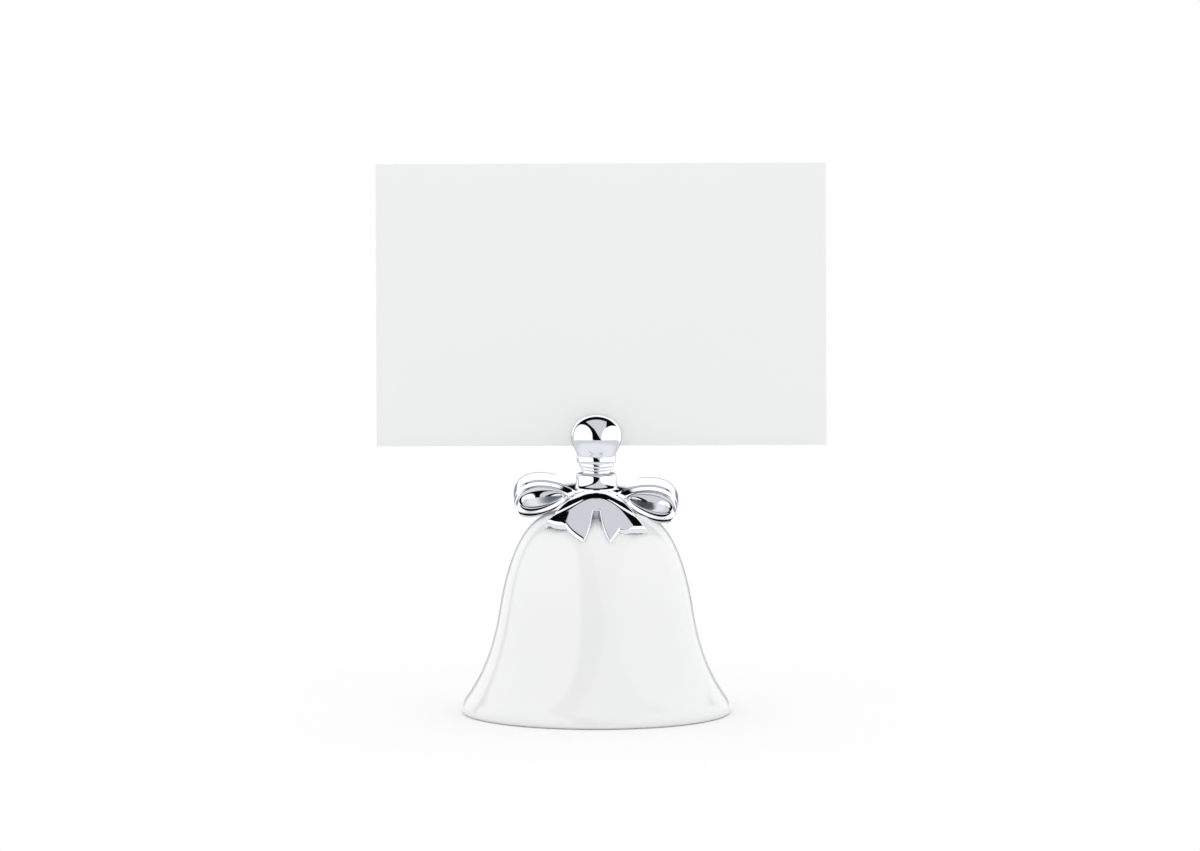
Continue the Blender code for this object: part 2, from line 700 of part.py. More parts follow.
def make_finial(material):
    """The turned finial with its blind hole for the stud and the slot for the card."""
    profile = [*finial_outline(), (BORE, FINIAL_Z), (BORE, STUD_HOLE_TOP), (0.0, STUD_HOLE_TOP)]
    finial = turned("card_finial", profile, FINIAL_SEGMENTS, material)
    length = 2 * (BULB_RADIUS + CUT_PAST)
    width = CARD_THICKNESS + 2 * CARD_GAP
    slot = box_mesh("slot", length, width, SLOT_DEPTH + CUT_PAST, SLOT_Z)
    boolean(finial, make_cutter(add_object("slot", slot)), "DIFFERENCE")
    return finial


def make_card(material):
    """The card stands on the floor of the slot. Its origin is on the way it lifts out."""
    mesh = box_mesh("menu_card", CARD_WIDTH, CARD_THICKNESS, CARD_HEIGHT, 0.0)
    card = add_object("menu_card", mesh, material)
    card.location = (CARD_SHIFT, 0.0, SLOT_Z + SEAT_GAP)
    return card


def build():
    remove_everything()
    porcelain = finish("glazed porcelain", (0.84, 0.84, 0.83), 0.12, 0.0)
    plating = finish("mirror plating", (0.80, 0.82, 0.85), 0.04, 1.0)
    rubber = finish("grey gasket rubber", (0.10, 0.10, 0.10), 0.7, 0.0)
    steel = finish("zinc plated steel", (0.62, 0.62, 0.60), 0.3, 1.0)
    board = finish("white card", (0.85, 0.86, 0.85), 0.8, 0.0)

    make_bell(porcelain)
    make_ring("crown_gasket", CROWN_GASKET_RADIUS, GASKET_Z, CROWN_GASKET_THICKNESS, rubber)
    make_tails(plating)
    cutters = [
        make_knot_clearance(),
        make_bell_clearance(),
        make_cutter(make_collar("collar clearance", SEAT_GAP)),
    ]
    left_cutters = [*cutters, make_tail("left tail clearance", LEFT_TAIL, SEAT_GAP)]
    make_loop("bow_loop_left", -1, LEFT_LOOP_TILT, left_cutters, plating)
    right_cutters = [*cutters, make_tail("right tail clearance", RIGHT_TAIL, SEAT_GAP)]
    make_loop("bow_loop_right", 1, RIGHT_LOOP_TILT, right_cutters, plating)
    make_knot(plating)
    make_finial(plating)
    make_stud(steel)
    make_ring("inner_gasket", INNER_GASKET_RADIUS, INNER_GASKET_Z, INNER_GASKET_THICKNESS, rubber)
    make_ring("clamp_washer", WASHER_RADIUS, WASHER_Z, WASHER_THICKNESS, steel)
    make_nut(steel)
    make_card(board)


build()
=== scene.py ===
import math

import bpy
import numpy as np
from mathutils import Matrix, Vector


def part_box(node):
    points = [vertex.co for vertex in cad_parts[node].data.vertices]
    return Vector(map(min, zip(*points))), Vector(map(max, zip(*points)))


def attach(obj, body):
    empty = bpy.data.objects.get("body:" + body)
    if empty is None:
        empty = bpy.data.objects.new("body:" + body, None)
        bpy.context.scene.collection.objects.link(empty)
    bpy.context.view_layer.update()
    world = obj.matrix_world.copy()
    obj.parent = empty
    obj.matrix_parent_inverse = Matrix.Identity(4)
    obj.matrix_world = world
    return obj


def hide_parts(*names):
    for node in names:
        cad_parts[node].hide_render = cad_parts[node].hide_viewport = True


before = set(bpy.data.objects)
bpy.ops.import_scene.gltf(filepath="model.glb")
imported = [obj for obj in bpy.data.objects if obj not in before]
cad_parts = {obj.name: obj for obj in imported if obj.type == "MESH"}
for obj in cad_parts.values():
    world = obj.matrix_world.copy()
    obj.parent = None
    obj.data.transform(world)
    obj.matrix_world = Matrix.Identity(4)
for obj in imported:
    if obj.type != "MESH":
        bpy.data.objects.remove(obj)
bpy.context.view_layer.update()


# The bell: slip-cast porcelain with an even wall, open below, with a hole for the stud in its flat crown.
# A clear glaze covers it all but for the ring that it stood on in the kiln.
MM = 0.001
BELL_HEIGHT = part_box("bell_shell")[1].z
BELL_WALL = 2.2 * MM
BELL_CROWN_RADIUS = 6.4 * MM
BELL_SHOULDER_PULL = 6.7 * MM
BELL_WAIST_RADIUS = 18.4 * MM
BELL_WAIST_HEIGHT = 20.0 * MM
BELL_WAIST_LEAN = 9.4
BELL_WAIST_PULL_UP = 11.3 * MM
BELL_WAIST_PULL_DOWN = 7.2 * MM
BELL_LIP_RADIUS = 24.85 * MM
BELL_LIP_HEIGHT = 2.9 * MM
BELL_LIP_LEAN = 35.5
BELL_LIP_PULL = 6.2 * MM
BELL_LIP_ROUND = 1.9 * MM
BELL_FOOT_ROUND = 0.9 * MM
BELL_FOOT_OUTSET = 0.1 * MM
BELL_FOOT_WIDTH = 1.0 * MM
STUD_BORE = 1.8 * MM
BELL_STEPS = 64
BELL_SEGMENTS = 288
CROWN_STEPS = 8
LIP_STEPS = 24
FOOT_STEPS = 4
INNER_LIP_STEPS = 6
BORE_STEPS = 4
WELD = 1e-4 * MM
SHARP_ANGLE = 40.0


def bezier(start, start_pull, end_pull, end, count):
    """A cubic Bezier curve: its four corners weighted by the Bernstein terms of t, without the last point."""
    t = np.linspace(0, 1, count, endpoint=False)[:, None]
    weights = ((1 - t) ** 3, 3 * (1 - t) ** 2 * t, 3 * (1 - t) * t**2, t**3)
    return sum(w * np.array(p) for w, p in zip(weights, (start, start_pull, end_pull, end)))


def leaning(degrees):
    """The unit step down and outwards at this angle from the vertical."""
    return np.array([math.sin(math.radians(degrees)), -math.cos(math.radians(degrees))])


def bell_outline(steps):
    """The outer side of the bell as (radius, height): a shoulder curve and a flare that meet at the waist."""
    crown = np.array([BELL_CROWN_RADIUS, BELL_HEIGHT])
    waist = np.array([BELL_WAIST_RADIUS, BELL_WAIST_HEIGHT])
    lip = np.array([BELL_LIP_RADIUS, BELL_LIP_HEIGHT])
    waist_way = leaning(BELL_WAIST_LEAN)
    shoulder_end = waist - waist_way * BELL_WAIST_PULL_UP
    flare_start = waist + waist_way * BELL_WAIST_PULL_DOWN
    flare_end = lip - leaning(BELL_LIP_LEAN) * BELL_LIP_PULL
    shoulder = bezier(crown, crown + (BELL_SHOULDER_PULL, 0), shoulder_end, waist, steps)
    flare = bezier(waist, flare_start, flare_end, lip, steps)
    return np.vstack([shoulder, flare, [lip]])


def moved_in(outline, distance):
    """An outline moved along its own normal, which is its slope turned by a right angle."""
    slope = np.gradient(outline, axis=0)
    slope /= np.linalg.norm(slope, axis=1)[:, None]
    slope[0] = (1, 0)
    return outline + np.column_stack([slope[:, 1], -slope[:, 0]]) * distance


def straight(start, end, count):
    """Points on a straight line, without the last one."""
    return np.linspace(start, end, count, endpoint=False)


def full_turn(segments):
    """Even angles once round, without the last one."""
    return straight(0, 2 * math.pi, segments)


def polar(radius, angle, height):
    """Points at a distance from the Z axis, an angle round it and a height."""
    across, ahead = radius * np.cos(angle), radius * np.sin(angle)
    return np.stack(np.broadcast_arrays(across, ahead, height), axis=-1)


def turned(profile, segments):
    """A grid of points: each (radius, height) of the profile carried round the Z axis."""
    return polar(profile[:, 0, None], full_turn(segments), profile[:, 1, None])


def grid_quads(rows, columns, round_rows=False, round_columns=True):
    """The corner numbers of each quad of a grid of points, joined end to end where it goes round."""
    index = np.arange(rows * columns).reshape(rows, columns)
    down, across = np.roll(index, -1, axis=0), np.roll(index, -1, axis=1)
    both = np.roll(down, -1, axis=1)
    quads = np.stack([index, down, both, across], axis=-1)
    return quads[: None if round_rows else -1, : None if round_columns else -1].reshape(-1, 4)


def mesh_of(name, points, quads, sharp=SHARP_ANGLE):
    """A mesh of shared points: equal points become one, and pinched quads turn to triangles or go."""
    points = np.asarray(points).reshape(-1, 3)
    _, first, same = np.unique(np.round(points / WELD), axis=0, return_index=True, return_inverse=True)
    quads = same.reshape(-1)[np.asarray(quads)]
    repeat = quads == np.roll(quads, -1, axis=1)
    whole = quads[repeat.sum(axis=1) == 0]
    pinched = quads[repeat.sum(axis=1) == 1]
    threes = pinched[~repeat[repeat.sum(axis=1) == 1]].reshape(-1, 3)
    mesh = bpy.data.meshes.new(name)
    mesh.from_pydata(points[first], [], whole.tolist() + threes.tolist())
    mesh.shade_smooth()
    mesh.set_sharp_from_angle(angle=math.radians(sharp))
    return mesh


def grid_mesh(name, points, closed=False, sharp=SHARP_ANGLE):
    """The mesh of a grid of points: each row is a ring, and a closed grid joins its last row to its first."""
    return mesh_of(name, points, grid_quads(*points.shape[:2], closed), sharp)


def placed(name, data):
    """A new object with this mesh or camera, in the scene."""
    made = bpy.data.objects.new(name, data)
    bpy.context.scene.collection.objects.link(made)
    return made


def show(name, mesh, material, cad_node, body="holder", in_mirrors=True):
    """Puts a finished mesh in the scene, on its CAD body and in place of its CAD node.

    A piece that isn't in_mirrors is left out of reflections, so that the plating shows the studio cleanly.
    """
    piece = placed(name, mesh)
    mesh.materials.clear()
    mesh.materials.append(material)
    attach(piece, body)
    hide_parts(cad_node)
    piece.visible_glossy = in_mirrors
    return piece


def colour(code):
    """A hex sRGB colour as linear red, green, blue and alpha."""
    channels = np.array([int(code[i : i + 2], 16) / 255 for i in (1, 3, 5)])
    linear = np.where(channels <= 0.04045, channels / 12.92, ((channels + 0.055) / 1.055) ** 2.4)
    return (*linear.tolist(), 1.0)


def node(tree, kind, inputs=None, **settings):
    """Adds a node with its settings, and sets each input or links it to a socket or a node's first output."""
    made = tree.nodes.new(f"ShaderNode{kind}")
    for key, value in settings.items():
        setattr(made, key, value)
    for key, value in (inputs or {}).items():
        if isinstance(value, bpy.types.Node):
            value = next(output for output in value.outputs if output.enabled)
        if isinstance(value, bpy.types.NodeSocket):
            tree.links.new(value, made.inputs[key])
        else:
            made.inputs[key].default_value = value
    return made


def new_material(name):
    """An empty material, and the Object coordinates that its patterns read."""
    material = bpy.data.materials.new(name)
    material.use_nodes = True
    tree = material.node_tree
    tree.nodes.clear()
    place = node(tree, "TexCoord").outputs["Object"]
    return material, tree, place


def coated(material, tree, relief, surface):
    """Ends a material: one shader with these inputs, and this relief as its bump."""
    normal = node(tree, "Bump", relief)
    shader = node(tree, "BsdfPrincipled", surface | {"Normal": normal})
    node(tree, "OutputMaterial", {"Surface": shader})
    return material


def glazed_porcelain():
    """Feldspar porcelain under a clear glaze: a soft white, a wet shine, a slow ripple where it ran."""
    pooling_width = 22 * MM
    ripple_width = 5 * MM
    bare_height = 0.35 * MM
    material, tree, place = new_material("glazed porcelain")
    pooling = node(tree, "TexNoise", {"Vector": place, "Scale": 1 / pooling_width, "Detail": 2.0})
    ripple = node(tree, "TexNoise", {"Vector": place, "Scale": 1 / ripple_width, "Detail": 1.0})
    height = node(tree, "SeparateXYZ", {"Vector": place}).outputs["Z"]
    glazed = node(tree, "MapRange", {"Value": height, "From Min": bare_height / 2, "From Max": bare_height})
    whites = {"Factor": pooling, "A": colour("#F0F0EF"), "B": colour("#EDEEEF")}
    glaze = node(tree, "Mix", whites, data_type="RGBA")
    body = node(tree, "Mix", {"Factor": glazed, "A": colour("#E4DFD6"), "B": glaze}, data_type="RGBA")
    shine = node(tree, "MapRange", {"Value": glazed, "To Min": 0.6, "To Max": 0.1})
    waves = {"Height": ripple, "Strength": 0.25, "Distance": 0.04 * MM}
    return coated(material, tree, waves, {"Base Color": body, "Roughness": shine, "IOR": 1.5})


def bell_profile():
    """The closed outline of the wall: crown, outer side, lip, foot ring, and up the inside to the bore."""
    outer = bell_outline(BELL_STEPS)
    inner = moved_in(outer, BELL_WALL)[::-1]
    lip = outer[-1]
    foot = np.array([BELL_LIP_RADIUS + BELL_FOOT_OUTSET, 0.0])
    foot_inside = foot - (BELL_FOOT_WIDTH, 0)
    crown_edge = np.array([STUD_BORE, BELL_HEIGHT])
    inner_edge = crown_edge - (0, BELL_WALL)
    lip_pull = lip + leaning(BELL_LIP_LEAN) * BELL_LIP_ROUND
    return np.vstack(
        [
            straight(crown_edge, outer[0], CROWN_STEPS),
            outer[:-1],
            bezier(lip, lip_pull, foot + (BELL_FOOT_ROUND, 0), foot, LIP_STEPS),
            straight(foot, foot_inside, FOOT_STEPS),
            straight(foot_inside, inner[0], INNER_LIP_STEPS),
            inner,
            straight(inner[-1], inner_edge, CROWN_STEPS)[1:],
            straight(inner_edge, crown_edge, BORE_STEPS),
        ]
    )


bell_mesh = grid_mesh("bell", turned(bell_profile(), BELL_SEGMENTS), True)
show("bell", bell_mesh, glazed_porcelain(), "bell_shell")


# The crown gasket: a ring cut from black sheet rubber, which keeps the metal off the glaze.
# The clamp squeezes it, so that its edge stands out in a soft round.
CONTACT = 0.02 * MM
GASKET_RADIUS = 4.8 * MM
GASKET_BULGE = 0.12 * MM
GASKET_BOTTOM = BELL_HEIGHT + CONTACT
GASKET_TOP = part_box("crown_gasket")[1].z
GASKET_STEPS = 13
RING_SEGMENTS = 128


def squeezed_ring(radius, bulge, bottom, top):
    """The closed outline of a flat ring round the stud: its side stands out by half a sine wave."""
    fall = np.linspace(0, 1, GASKET_STEPS)
    side = np.column_stack([radius + bulge * np.sin(math.pi * fall), top + (bottom - top) * fall])
    return np.vstack([[(STUD_BORE, top)], side, [(STUD_BORE, bottom)]])


def sheet_rubber():
    """Calendered nitrile rubber: near black and dull, with a faint grey bloom and a fine grain."""
    bloom_width = 2.5 * MM
    grain = 0.12 * MM  # the real grain is finer, and this is as fine as it can be and show
    material, tree, place = new_material("sheet rubber")
    bloom = node(tree, "TexNoise", {"Vector": place, "Scale": 1 / bloom_width, "Detail": 4.0})
    pits = node(tree, "TexNoise", {"Vector": place, "Scale": 1 / grain, "Detail": 2.0})
    blacks = {"Factor": bloom, "A": colour("#1C1C1D"), "B": colour("#2B2B2C")}
    black = node(tree, "Mix", blacks, data_type="RGBA")
    dull = node(tree, "MapRange", {"Value": bloom, "To Min": 0.55, "To Max": 0.8})
    pitting = {"Height": pits, "Strength": 0.3, "Distance": 0.02 * MM}
    return coated(material, tree, pitting, {"Base Color": black, "Roughness": dull, "IOR": 1.52})


rubber = sheet_rubber()
profile = squeezed_ring(GASKET_RADIUS, GASKET_BULGE, GASKET_BOTTOM, GASKET_TOP)
gasket_mesh = grid_mesh("gasket", turned(profile, RING_SEGMENTS), True)
show("gasket", gasket_mesh, rubber, "crown_gasket")


# The tails: a collar round the stud with two swallow-tail ribbon ends, one casting in plated metal.
# They leave the foot of the knot as one folded skirt, and settle on the shoulder of the bell.
SEAT_GAP = 0.3 * MM
COLLAR_RADIUS = 4.4 * MM
COLLAR_BOTTOM = GASKET_TOP + CONTACT
COLLAR_THICKNESS = 1.5 * MM
COLLAR_TOP = GASKET_TOP + SEAT_GAP + COLLAR_THICKNESS
COLLAR_ROUND = 0.5 * MM
KNOT_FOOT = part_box("bow_knot")[0].z - SEAT_GAP
KNOT_RADIUS = 3.78 * MM
KNOT_FLARE = 0.25 * MM
KNOT_FLARE_FRONT = 0.45 * MM
TAIL_ROOT_RADIUS = 3.9 * MM
TAIL_ROOT_INNER = 2.0
TAIL_ROOT_OUTER = 48.0
TAIL_THICKNESS = 0.55 * MM
TAIL_EDGE_ROUND = 0.3 * MM
TAIL_SETTLE = 2.4 * MM
TAIL_SLIT_POWER = 3.0
TAIL_UNDERCUT_POWER = 8
LIP_GAP = 0.1 * MM
LIP_RISE = 0.2 * MM
HOOD_START = 4.6 * MM
HOOD_START_LEAN = 83.0
HOOD_START_PULL = 5.2 * MM
HOOD_REACH = 13.9 * MM
HOOD_STEPS = 120
HOOD_END_LEAN = 37.0
HOOD_END_PULL = 5.0 * MM
HOOD_FACE_ANGLE = math.radians(7.5)
HOOD_CORNER = 2.0 * MM
HOOD_CORNER_START = 7.7 * MM
HOOD_CORNER_SPREAD = 1.3
HOOD_CORNER_ROUND = 0.4 * MM
HOOD_FALL_START = 8.0 * MM
HOOD_FALL_END = 10.5 * MM
HOOD_BLEND = 0.6 * MM
HOOD_SHOULDER = 2.0 * MM
HOOD_SHOULDER_ROOT = 0.4
TAIL_OUTER_THICKNESS = 0.3 * MM
TAIL_LEAST = 0.15 * MM
TAIL_UNDERCUT = 0.4 * MM
CREASE_DEPTH = 0.2 * MM
CREASE_END = 0.75
CREASE_WIDTH = 0.6 * MM
LEFT_TAIL = {
    "side": -1,
    "angles": (9.6, 27.7, 51.4),
    "radii": (14.1 * MM, 12.8 * MM, 12.6 * MM),
    "falls": (0.4, 0.3),
}
RIGHT_TAIL = {
    "side": 1,
    "angles": (10.6, 20.5, 46.6),
    "radii": (14.2 * MM, 12.8 * MM, 13.3 * MM),
    "falls": (0.5, 0.5),
}
TAIL_END_BULGE = 0.5 * MM
FOLD_REACH = 10.1 * MM
FOLD_UNDERCUT = 1.3 * MM
FOLD_UNDERCUT_POWER = 6
FOLD_EDGE_POWER = 8
FOLD_ROWS = 30
FOLD_COLUMNS = 17
TAIL_ROWS = 56
TAIL_COLUMNS = 32
ROUND_STEPS = 12


def smooth(value):
    """The smooth step: 3 v squared less 2 v cubed, held between 0 and 1."""
    value = np.clip(value, 0, 1)
    return value * value * (3 - 2 * value)


def eased(start, end, count):
    """Values from start to end on a cosine, so that they lie closer together at both ends."""
    return start + (end - start) * (1 - np.cos(np.linspace(0, math.pi, count))) / 2


def drape(radius):
    """The height of the outer side of the bell at a distance from its axis."""
    outline = bell_outline(BELL_STEPS)
    return np.interp(radius, outline[:, 0], outline[:, 1])


def underside(radius):
    """The bottom of the tails: over the gasket by the stud, and on the glaze further out."""
    way_out = (radius - GASKET_RADIUS - GASKET_BULGE) / TAIL_SETTLE
    return drape(radius) + CONTACT + (COLLAR_BOTTOM - BELL_HEIGHT) * (1 - smooth(way_out))


def knot_foot(to_front):
    """The radius of the knot's foot, which flares as the square of the cosine of the angle from the front."""
    return KNOT_RADIUS + KNOT_FLARE + KNOT_FLARE_FRONT * np.clip(to_front, 0, None) ** 2


def hood(across, ahead, falls):
    """The height of the folded skirt at a distance across and ahead of the axis.

    Ahead, it follows a Bezier curve from the foot of the knot down to the bell, read the way the face looks.
    Past a corner line that spreads outwards it also falls to the side, by a soft ramp of the given slopes.
    """
    start = np.array([HOOD_START, KNOT_FOOT + LIP_RISE])
    end = np.array([HOOD_REACH, drape(HOOD_REACH) + SEAT_GAP + TAIL_THICKNESS])
    start_pull = start + leaning(HOOD_START_LEAN) * HOOD_START_PULL
    end_pull = end - leaning(HOOD_END_LEAN) * HOOD_END_PULL
    past_end = end + leaning(HOOD_END_LEAN) * HOOD_REACH
    curve = np.vstack([bezier(start, start_pull, end_pull, end, HOOD_STEPS), [end, past_end]])
    along = ahead * math.cos(HOOD_FACE_ANGLE) + across * math.sin(HOOD_FACE_ANGLE)
    corner = HOOD_CORNER + HOOD_CORNER_SPREAD * np.clip(ahead - HOOD_CORNER_START, 0, None)
    past_corner = HOOD_CORNER_ROUND * np.logaddexp(0, (across - corner) / HOOD_CORNER_ROUND)
    side_fall = np.interp(ahead, (HOOD_FALL_START, HOOD_FALL_END), falls)
    return np.interp(along, curve[:, 0], curve[:, 1]) - side_fall * past_corner


def upper_of(one, other, blend):
    """The greater of two heights, with a round of this size in the corner where they meet."""
    near = np.clip(1 - np.abs(one - other) / blend, 0, 1)
    return np.maximum(one, other) + near**2 * blend / 4


def rounded_edge(distance):
    """How far a surface drops near its edge: a quarter circle over the edge distance."""
    share = 1 - np.clip(distance / TAIL_EDGE_ROUND, 0, 1)
    return TAIL_EDGE_ROUND * (1 - np.sqrt(1 - share**2))


def round_the_axis(side, radius, angle, height):
    """Points at a distance from the axis and an angle in degrees from the front, on one side."""
    turn = np.radians(angle)
    return np.stack([side * radius * np.sin(turn), -radius * np.cos(turn), height], axis=-1)


def tail_grid(side, angles, radii, falls):
    """One tail by the share s of the way out and f across: top and bottom points, and its inner edge.

    Two rows lie under the knot. From there the radius runs from a lip round the foot of the knot to the
    swallow-tail end, and the angle from the inner to the outer edge. The height is the hood or the sheet on
    the bell, whichever is greater, and it drops to the sheet by a quarter circle at the outer edge. The
    underside draws back at the end by a power of the way out.
    """
    tip, notch, outer_tip = angles
    split = (notch - tip) / (outer_tip - tip)
    fold_share = (FOLD_REACH - HOOD_START) / (radii[0] - HOOD_START)
    covered = np.array([0.0, 0.0])
    past_fold = eased(fold_share, 1, TAIL_ROWS)[1:]
    rows = np.concatenate([covered, np.linspace(0, fold_share, FOLD_ROWS), past_fold])
    across = np.concatenate([eased(0, split, TAIL_COLUMNS), eased(split, 1, TAIL_COLUMNS)[1:]])
    s, f = np.meshgrid(rows, across, indexing="ij")
    past_notch = np.clip((f - split) / (1 - split), 0, 1)
    reach = np.interp(f, (0, split, 1), radii) + TAIL_END_BULGE * np.sin(math.pi * past_notch)
    root_angle = TAIL_ROOT_INNER + (TAIL_ROOT_OUTER - TAIL_ROOT_INNER) * f
    lip = knot_foot(np.cos(np.radians(root_angle))) + LIP_GAP
    radius = lip + (reach - lip) * s
    radius[0] = TAIL_ROOT_RADIUS
    radius[1] -= LIP_GAP / 2
    inner = TAIL_ROOT_INNER + (tip - TAIL_ROOT_INNER) * s**TAIL_SLIT_POWER
    outer = TAIL_ROOT_OUTER + (outer_tip - TAIL_ROOT_OUTER) * s**2
    angle = inner + (outer - inner) * f

    turn = np.radians(angle)
    thickness = TAIL_THICKNESS + (TAIL_OUTER_THICKNESS - TAIL_THICKNESS) * smooth(past_notch) ** 2
    sheet = drape(radius) + SEAT_GAP + thickness
    to_crease = np.radians(angle - inner) * radius
    crease = CREASE_DEPTH * np.exp(-to_crease / CREASE_WIDTH) * np.sin(math.pi * smooth(s / CREASE_END))
    to_side = np.radians(outer - angle) * radius
    shoulder_width = HOOD_SHOULDER * (HOOD_SHOULDER_ROOT + (1 - HOOD_SHOULDER_ROOT) * s**3)
    shoulder = np.sqrt(1 - (1 - np.clip(to_side / shoulder_width, 0, 1)) ** 2)
    folded = hood(radius * np.sin(turn), radius * np.cos(turn), falls) - crease
    folded = upper_of(folded, sheet, HOOD_BLEND)
    top = sheet + (folded - sheet) * shoulder
    to_slit = np.hypot(to_crease, np.clip(FOLD_REACH - radius, 0, None))
    top -= rounded_edge(np.minimum(np.minimum(to_slit, to_side), reach - radius))
    top = np.maximum(top, underside(radius) + TAIL_LEAST)
    top[: len(covered)] = np.minimum(top[: len(covered)], KNOT_FOOT)
    fold = np.s_[: len(covered) + FOLD_ROWS, 0]
    edge = {"radius": radius[fold], "angle": side * inner[fold], "top": top[fold]}
    low_radius = radius - TAIL_UNDERCUT * s**TAIL_UNDERCUT_POWER
    bottom = np.maximum(underside(low_radius), top - TAIL_THICKNESS - TAIL_EDGE_ROUND)
    surfaces = [round_the_axis(side, radius, angle, top), round_the_axis(side, low_radius, angle, bottom)]
    return surfaces, edge


def fold_grid(left, right):
    """The narrow fold between the inner edges of the tails.

    Its top runs straight across from edge to edge. Its underside draws back towards the axis by a power
    of the way out, and less at its edges, so that the end of the fold is undercut.
    """
    share = np.linspace(0, 1, FOLD_COLUMNS)
    radius, angle, top = (left[key][:, None] + (right[key] - left[key])[:, None] * share for key in left)
    way = (radius - TAIL_ROOT_RADIUS) / (FOLD_REACH - TAIL_ROOT_RADIUS)
    low_radius = radius - FOLD_UNDERCUT * way**FOLD_UNDERCUT_POWER * (1 - (2 * share - 1) ** FOLD_EDGE_POWER)
    upper = round_the_axis(1, radius, angle, top)
    return [upper, round_the_axis(1, low_radius, angle, underside(low_radius))]


def sheet_solid(name, grids):
    """A closed sheet from grids of top and bottom points that share edges.

    It has the top faces, the bottom faces turned over, and a wall along each edge that only one face has.
    """
    top = np.vstack([g[0].reshape(-1, 3) for g in grids])
    bottom = np.vstack([g[1].reshape(-1, 3) for g in grids])
    sizes = np.array([g[0].shape[0] * g[0].shape[1] for g in grids])
    starts = np.cumsum(sizes) - sizes
    parts = [grid_quads(*g[0].shape[:2], round_columns=False) + start for g, start in zip(grids, starts)]
    _, first, same = np.unique(np.round(top / WELD), axis=0, return_index=True, return_inverse=True)
    quads = same.reshape(-1)[np.vstack(parts)]
    edges = np.stack([quads, np.roll(quads, -1, axis=1)], axis=-1).reshape(-1, 2)
    _, group, uses = np.unique(np.sort(edges, axis=1), axis=0, return_inverse=True, return_counts=True)
    start, end = edges[uses[group.reshape(-1)] == 1].T
    count = len(first)
    walls = np.column_stack([end, start, start + count, end + count])
    faces = np.vstack([quads, quads[:, ::-1] + count, walls])
    return mesh_of(name, np.vstack([top[first], bottom[first]]), faces)


def rounded_top(radius, top, size):
    """A quarter circle at a top edge, from the flat face over to the upright side."""
    turn = np.linspace(0, math.pi / 2, ROUND_STEPS)
    return np.column_stack([radius - size * (1 - np.sin(turn)), top - size * (1 - np.cos(turn))])


def carved(mesh, cuts, joins):
    """A mesh with solids cut away and others joined on, by Booleans. Only the new mesh stays."""
    work = placed("work", mesh)
    tools = [("DIFFERENCE", cut) for cut in cuts] + [("UNION", join) for join in joins]
    for operation, tool_mesh in tools:
        step = work.modifiers.new(operation, "BOOLEAN")
        step.operation = operation
        step.solver = "MANIFOLD"
        step.object = placed("tool", tool_mesh)
    done = bpy.data.meshes.new_from_object(work.evaluated_get(bpy.context.evaluated_depsgraph_get()))
    for step in work.modifiers:
        bpy.data.objects.remove(step.object)
    bpy.data.objects.remove(work)
    done.shade_smooth()
    done.set_sharp_from_angle(angle=math.radians(SHARP_ANGLE))
    return done


def mirror_plating():
    """Bright chrome plating on a polished casting: a cool mirror with wipe marks and a faint orange peel."""
    wipe_width = 7 * MM
    peel_width = 1.4 * MM
    material, tree, place = new_material("mirror plating")
    wipe = node(tree, "TexNoise", {"Vector": place, "Scale": 1 / wipe_width, "Detail": 5.0})
    peel = node(tree, "TexNoise", {"Vector": place, "Scale": 1 / peel_width, "Detail": 0.0})
    haze = {"Value": wipe, "From Min": 0.35, "From Max": 0.75, "To Min": 0.025, "To Max": 0.06}
    polish = node(tree, "MapRange", haze)
    tints = {"Factor": wipe, "A": colour("#E8ECF2"), "B": colour("#E3E7EE")}
    tint = node(tree, "Mix", tints, data_type="RGBA")
    dimples = {"Height": peel, "Strength": 0.15, "Distance": 0.01 * MM}
    return coated(material, tree, dimples, {"Base Color": tint, "Metallic": 1.0, "Roughness": polish})


plating = mirror_plating()
left_surfaces, left_edge = tail_grid(**LEFT_TAIL)
right_surfaces, right_edge = tail_grid(**RIGHT_TAIL)
left_surfaces = [surface[:, ::-1] for surface in left_surfaces]
skirt = sheet_solid("skirt", [left_surfaces, fold_grid(left_edge, right_edge), right_surfaces])
collar_edge = rounded_top(COLLAR_RADIUS, COLLAR_TOP, COLLAR_ROUND)
collar_foot = [(COLLAR_RADIUS, COLLAR_BOTTOM), (STUD_BORE, COLLAR_BOTTOM)]
profile = np.vstack([[(STUD_BORE, COLLAR_TOP)], collar_edge, collar_foot])
collar = grid_mesh("collar", turned(profile, RING_SEGMENTS), True)
tails_mesh = carved(skirt, [], [collar])
show("tails", tails_mesh, plating, "bow_tails")


# The loops: two puffed ribbon loops with a recess front and back, cast in the same plated metal.
# Each ends in half an eye round the stud, which the knot clamps on the collar.
LUG_RADIUS = 3.4 * MM
LUG_THICKNESS = 1.3 * MM
LUG_BOTTOM = KNOT_FOOT - LUG_THICKNESS
LUG_NECK = 2.6 * MM
LUG_STEPS = 24
LUG_BORE_STEPS = 32
LOOP_MIDDLE = LUG_BOTTOM + LUG_THICKNESS / 2
LOOP_ROOT = 2.0 * MM
LOOP_TIP = 15.9 * MM
LOOP_HALF_HEIGHT = 3.25 * MM
LOOP_FATNESS = 0.66
LOOP_TIP_DROP = 1.6 * MM
LOOP_ROOT_RISE = 0.3 * MM
LOOP_ROOT_DEPTH = 3.0 * MM
LOOP_BELLY_DEPTH = 4.4 * MM
LOOP_RIDGE_BACK = 2.7 * MM
LOOP_SIDE = ((0, 1), (0.09, 0.997), (0.15, 0.965), (0.42, 0.66), (0.52, 0.635), (0.965, 0.1), (1, 0))
LOOP_SIDE_ROUND = 0.04
LOOP_CREST_START = 7.0 * MM
LOOP_CREST_END = 14.0 * MM
LOOP_CREST_SET = 0.7 * MM
LOOP_CREST_FALL = 0.187
LOOP_RIDGE = 1.7 * MM
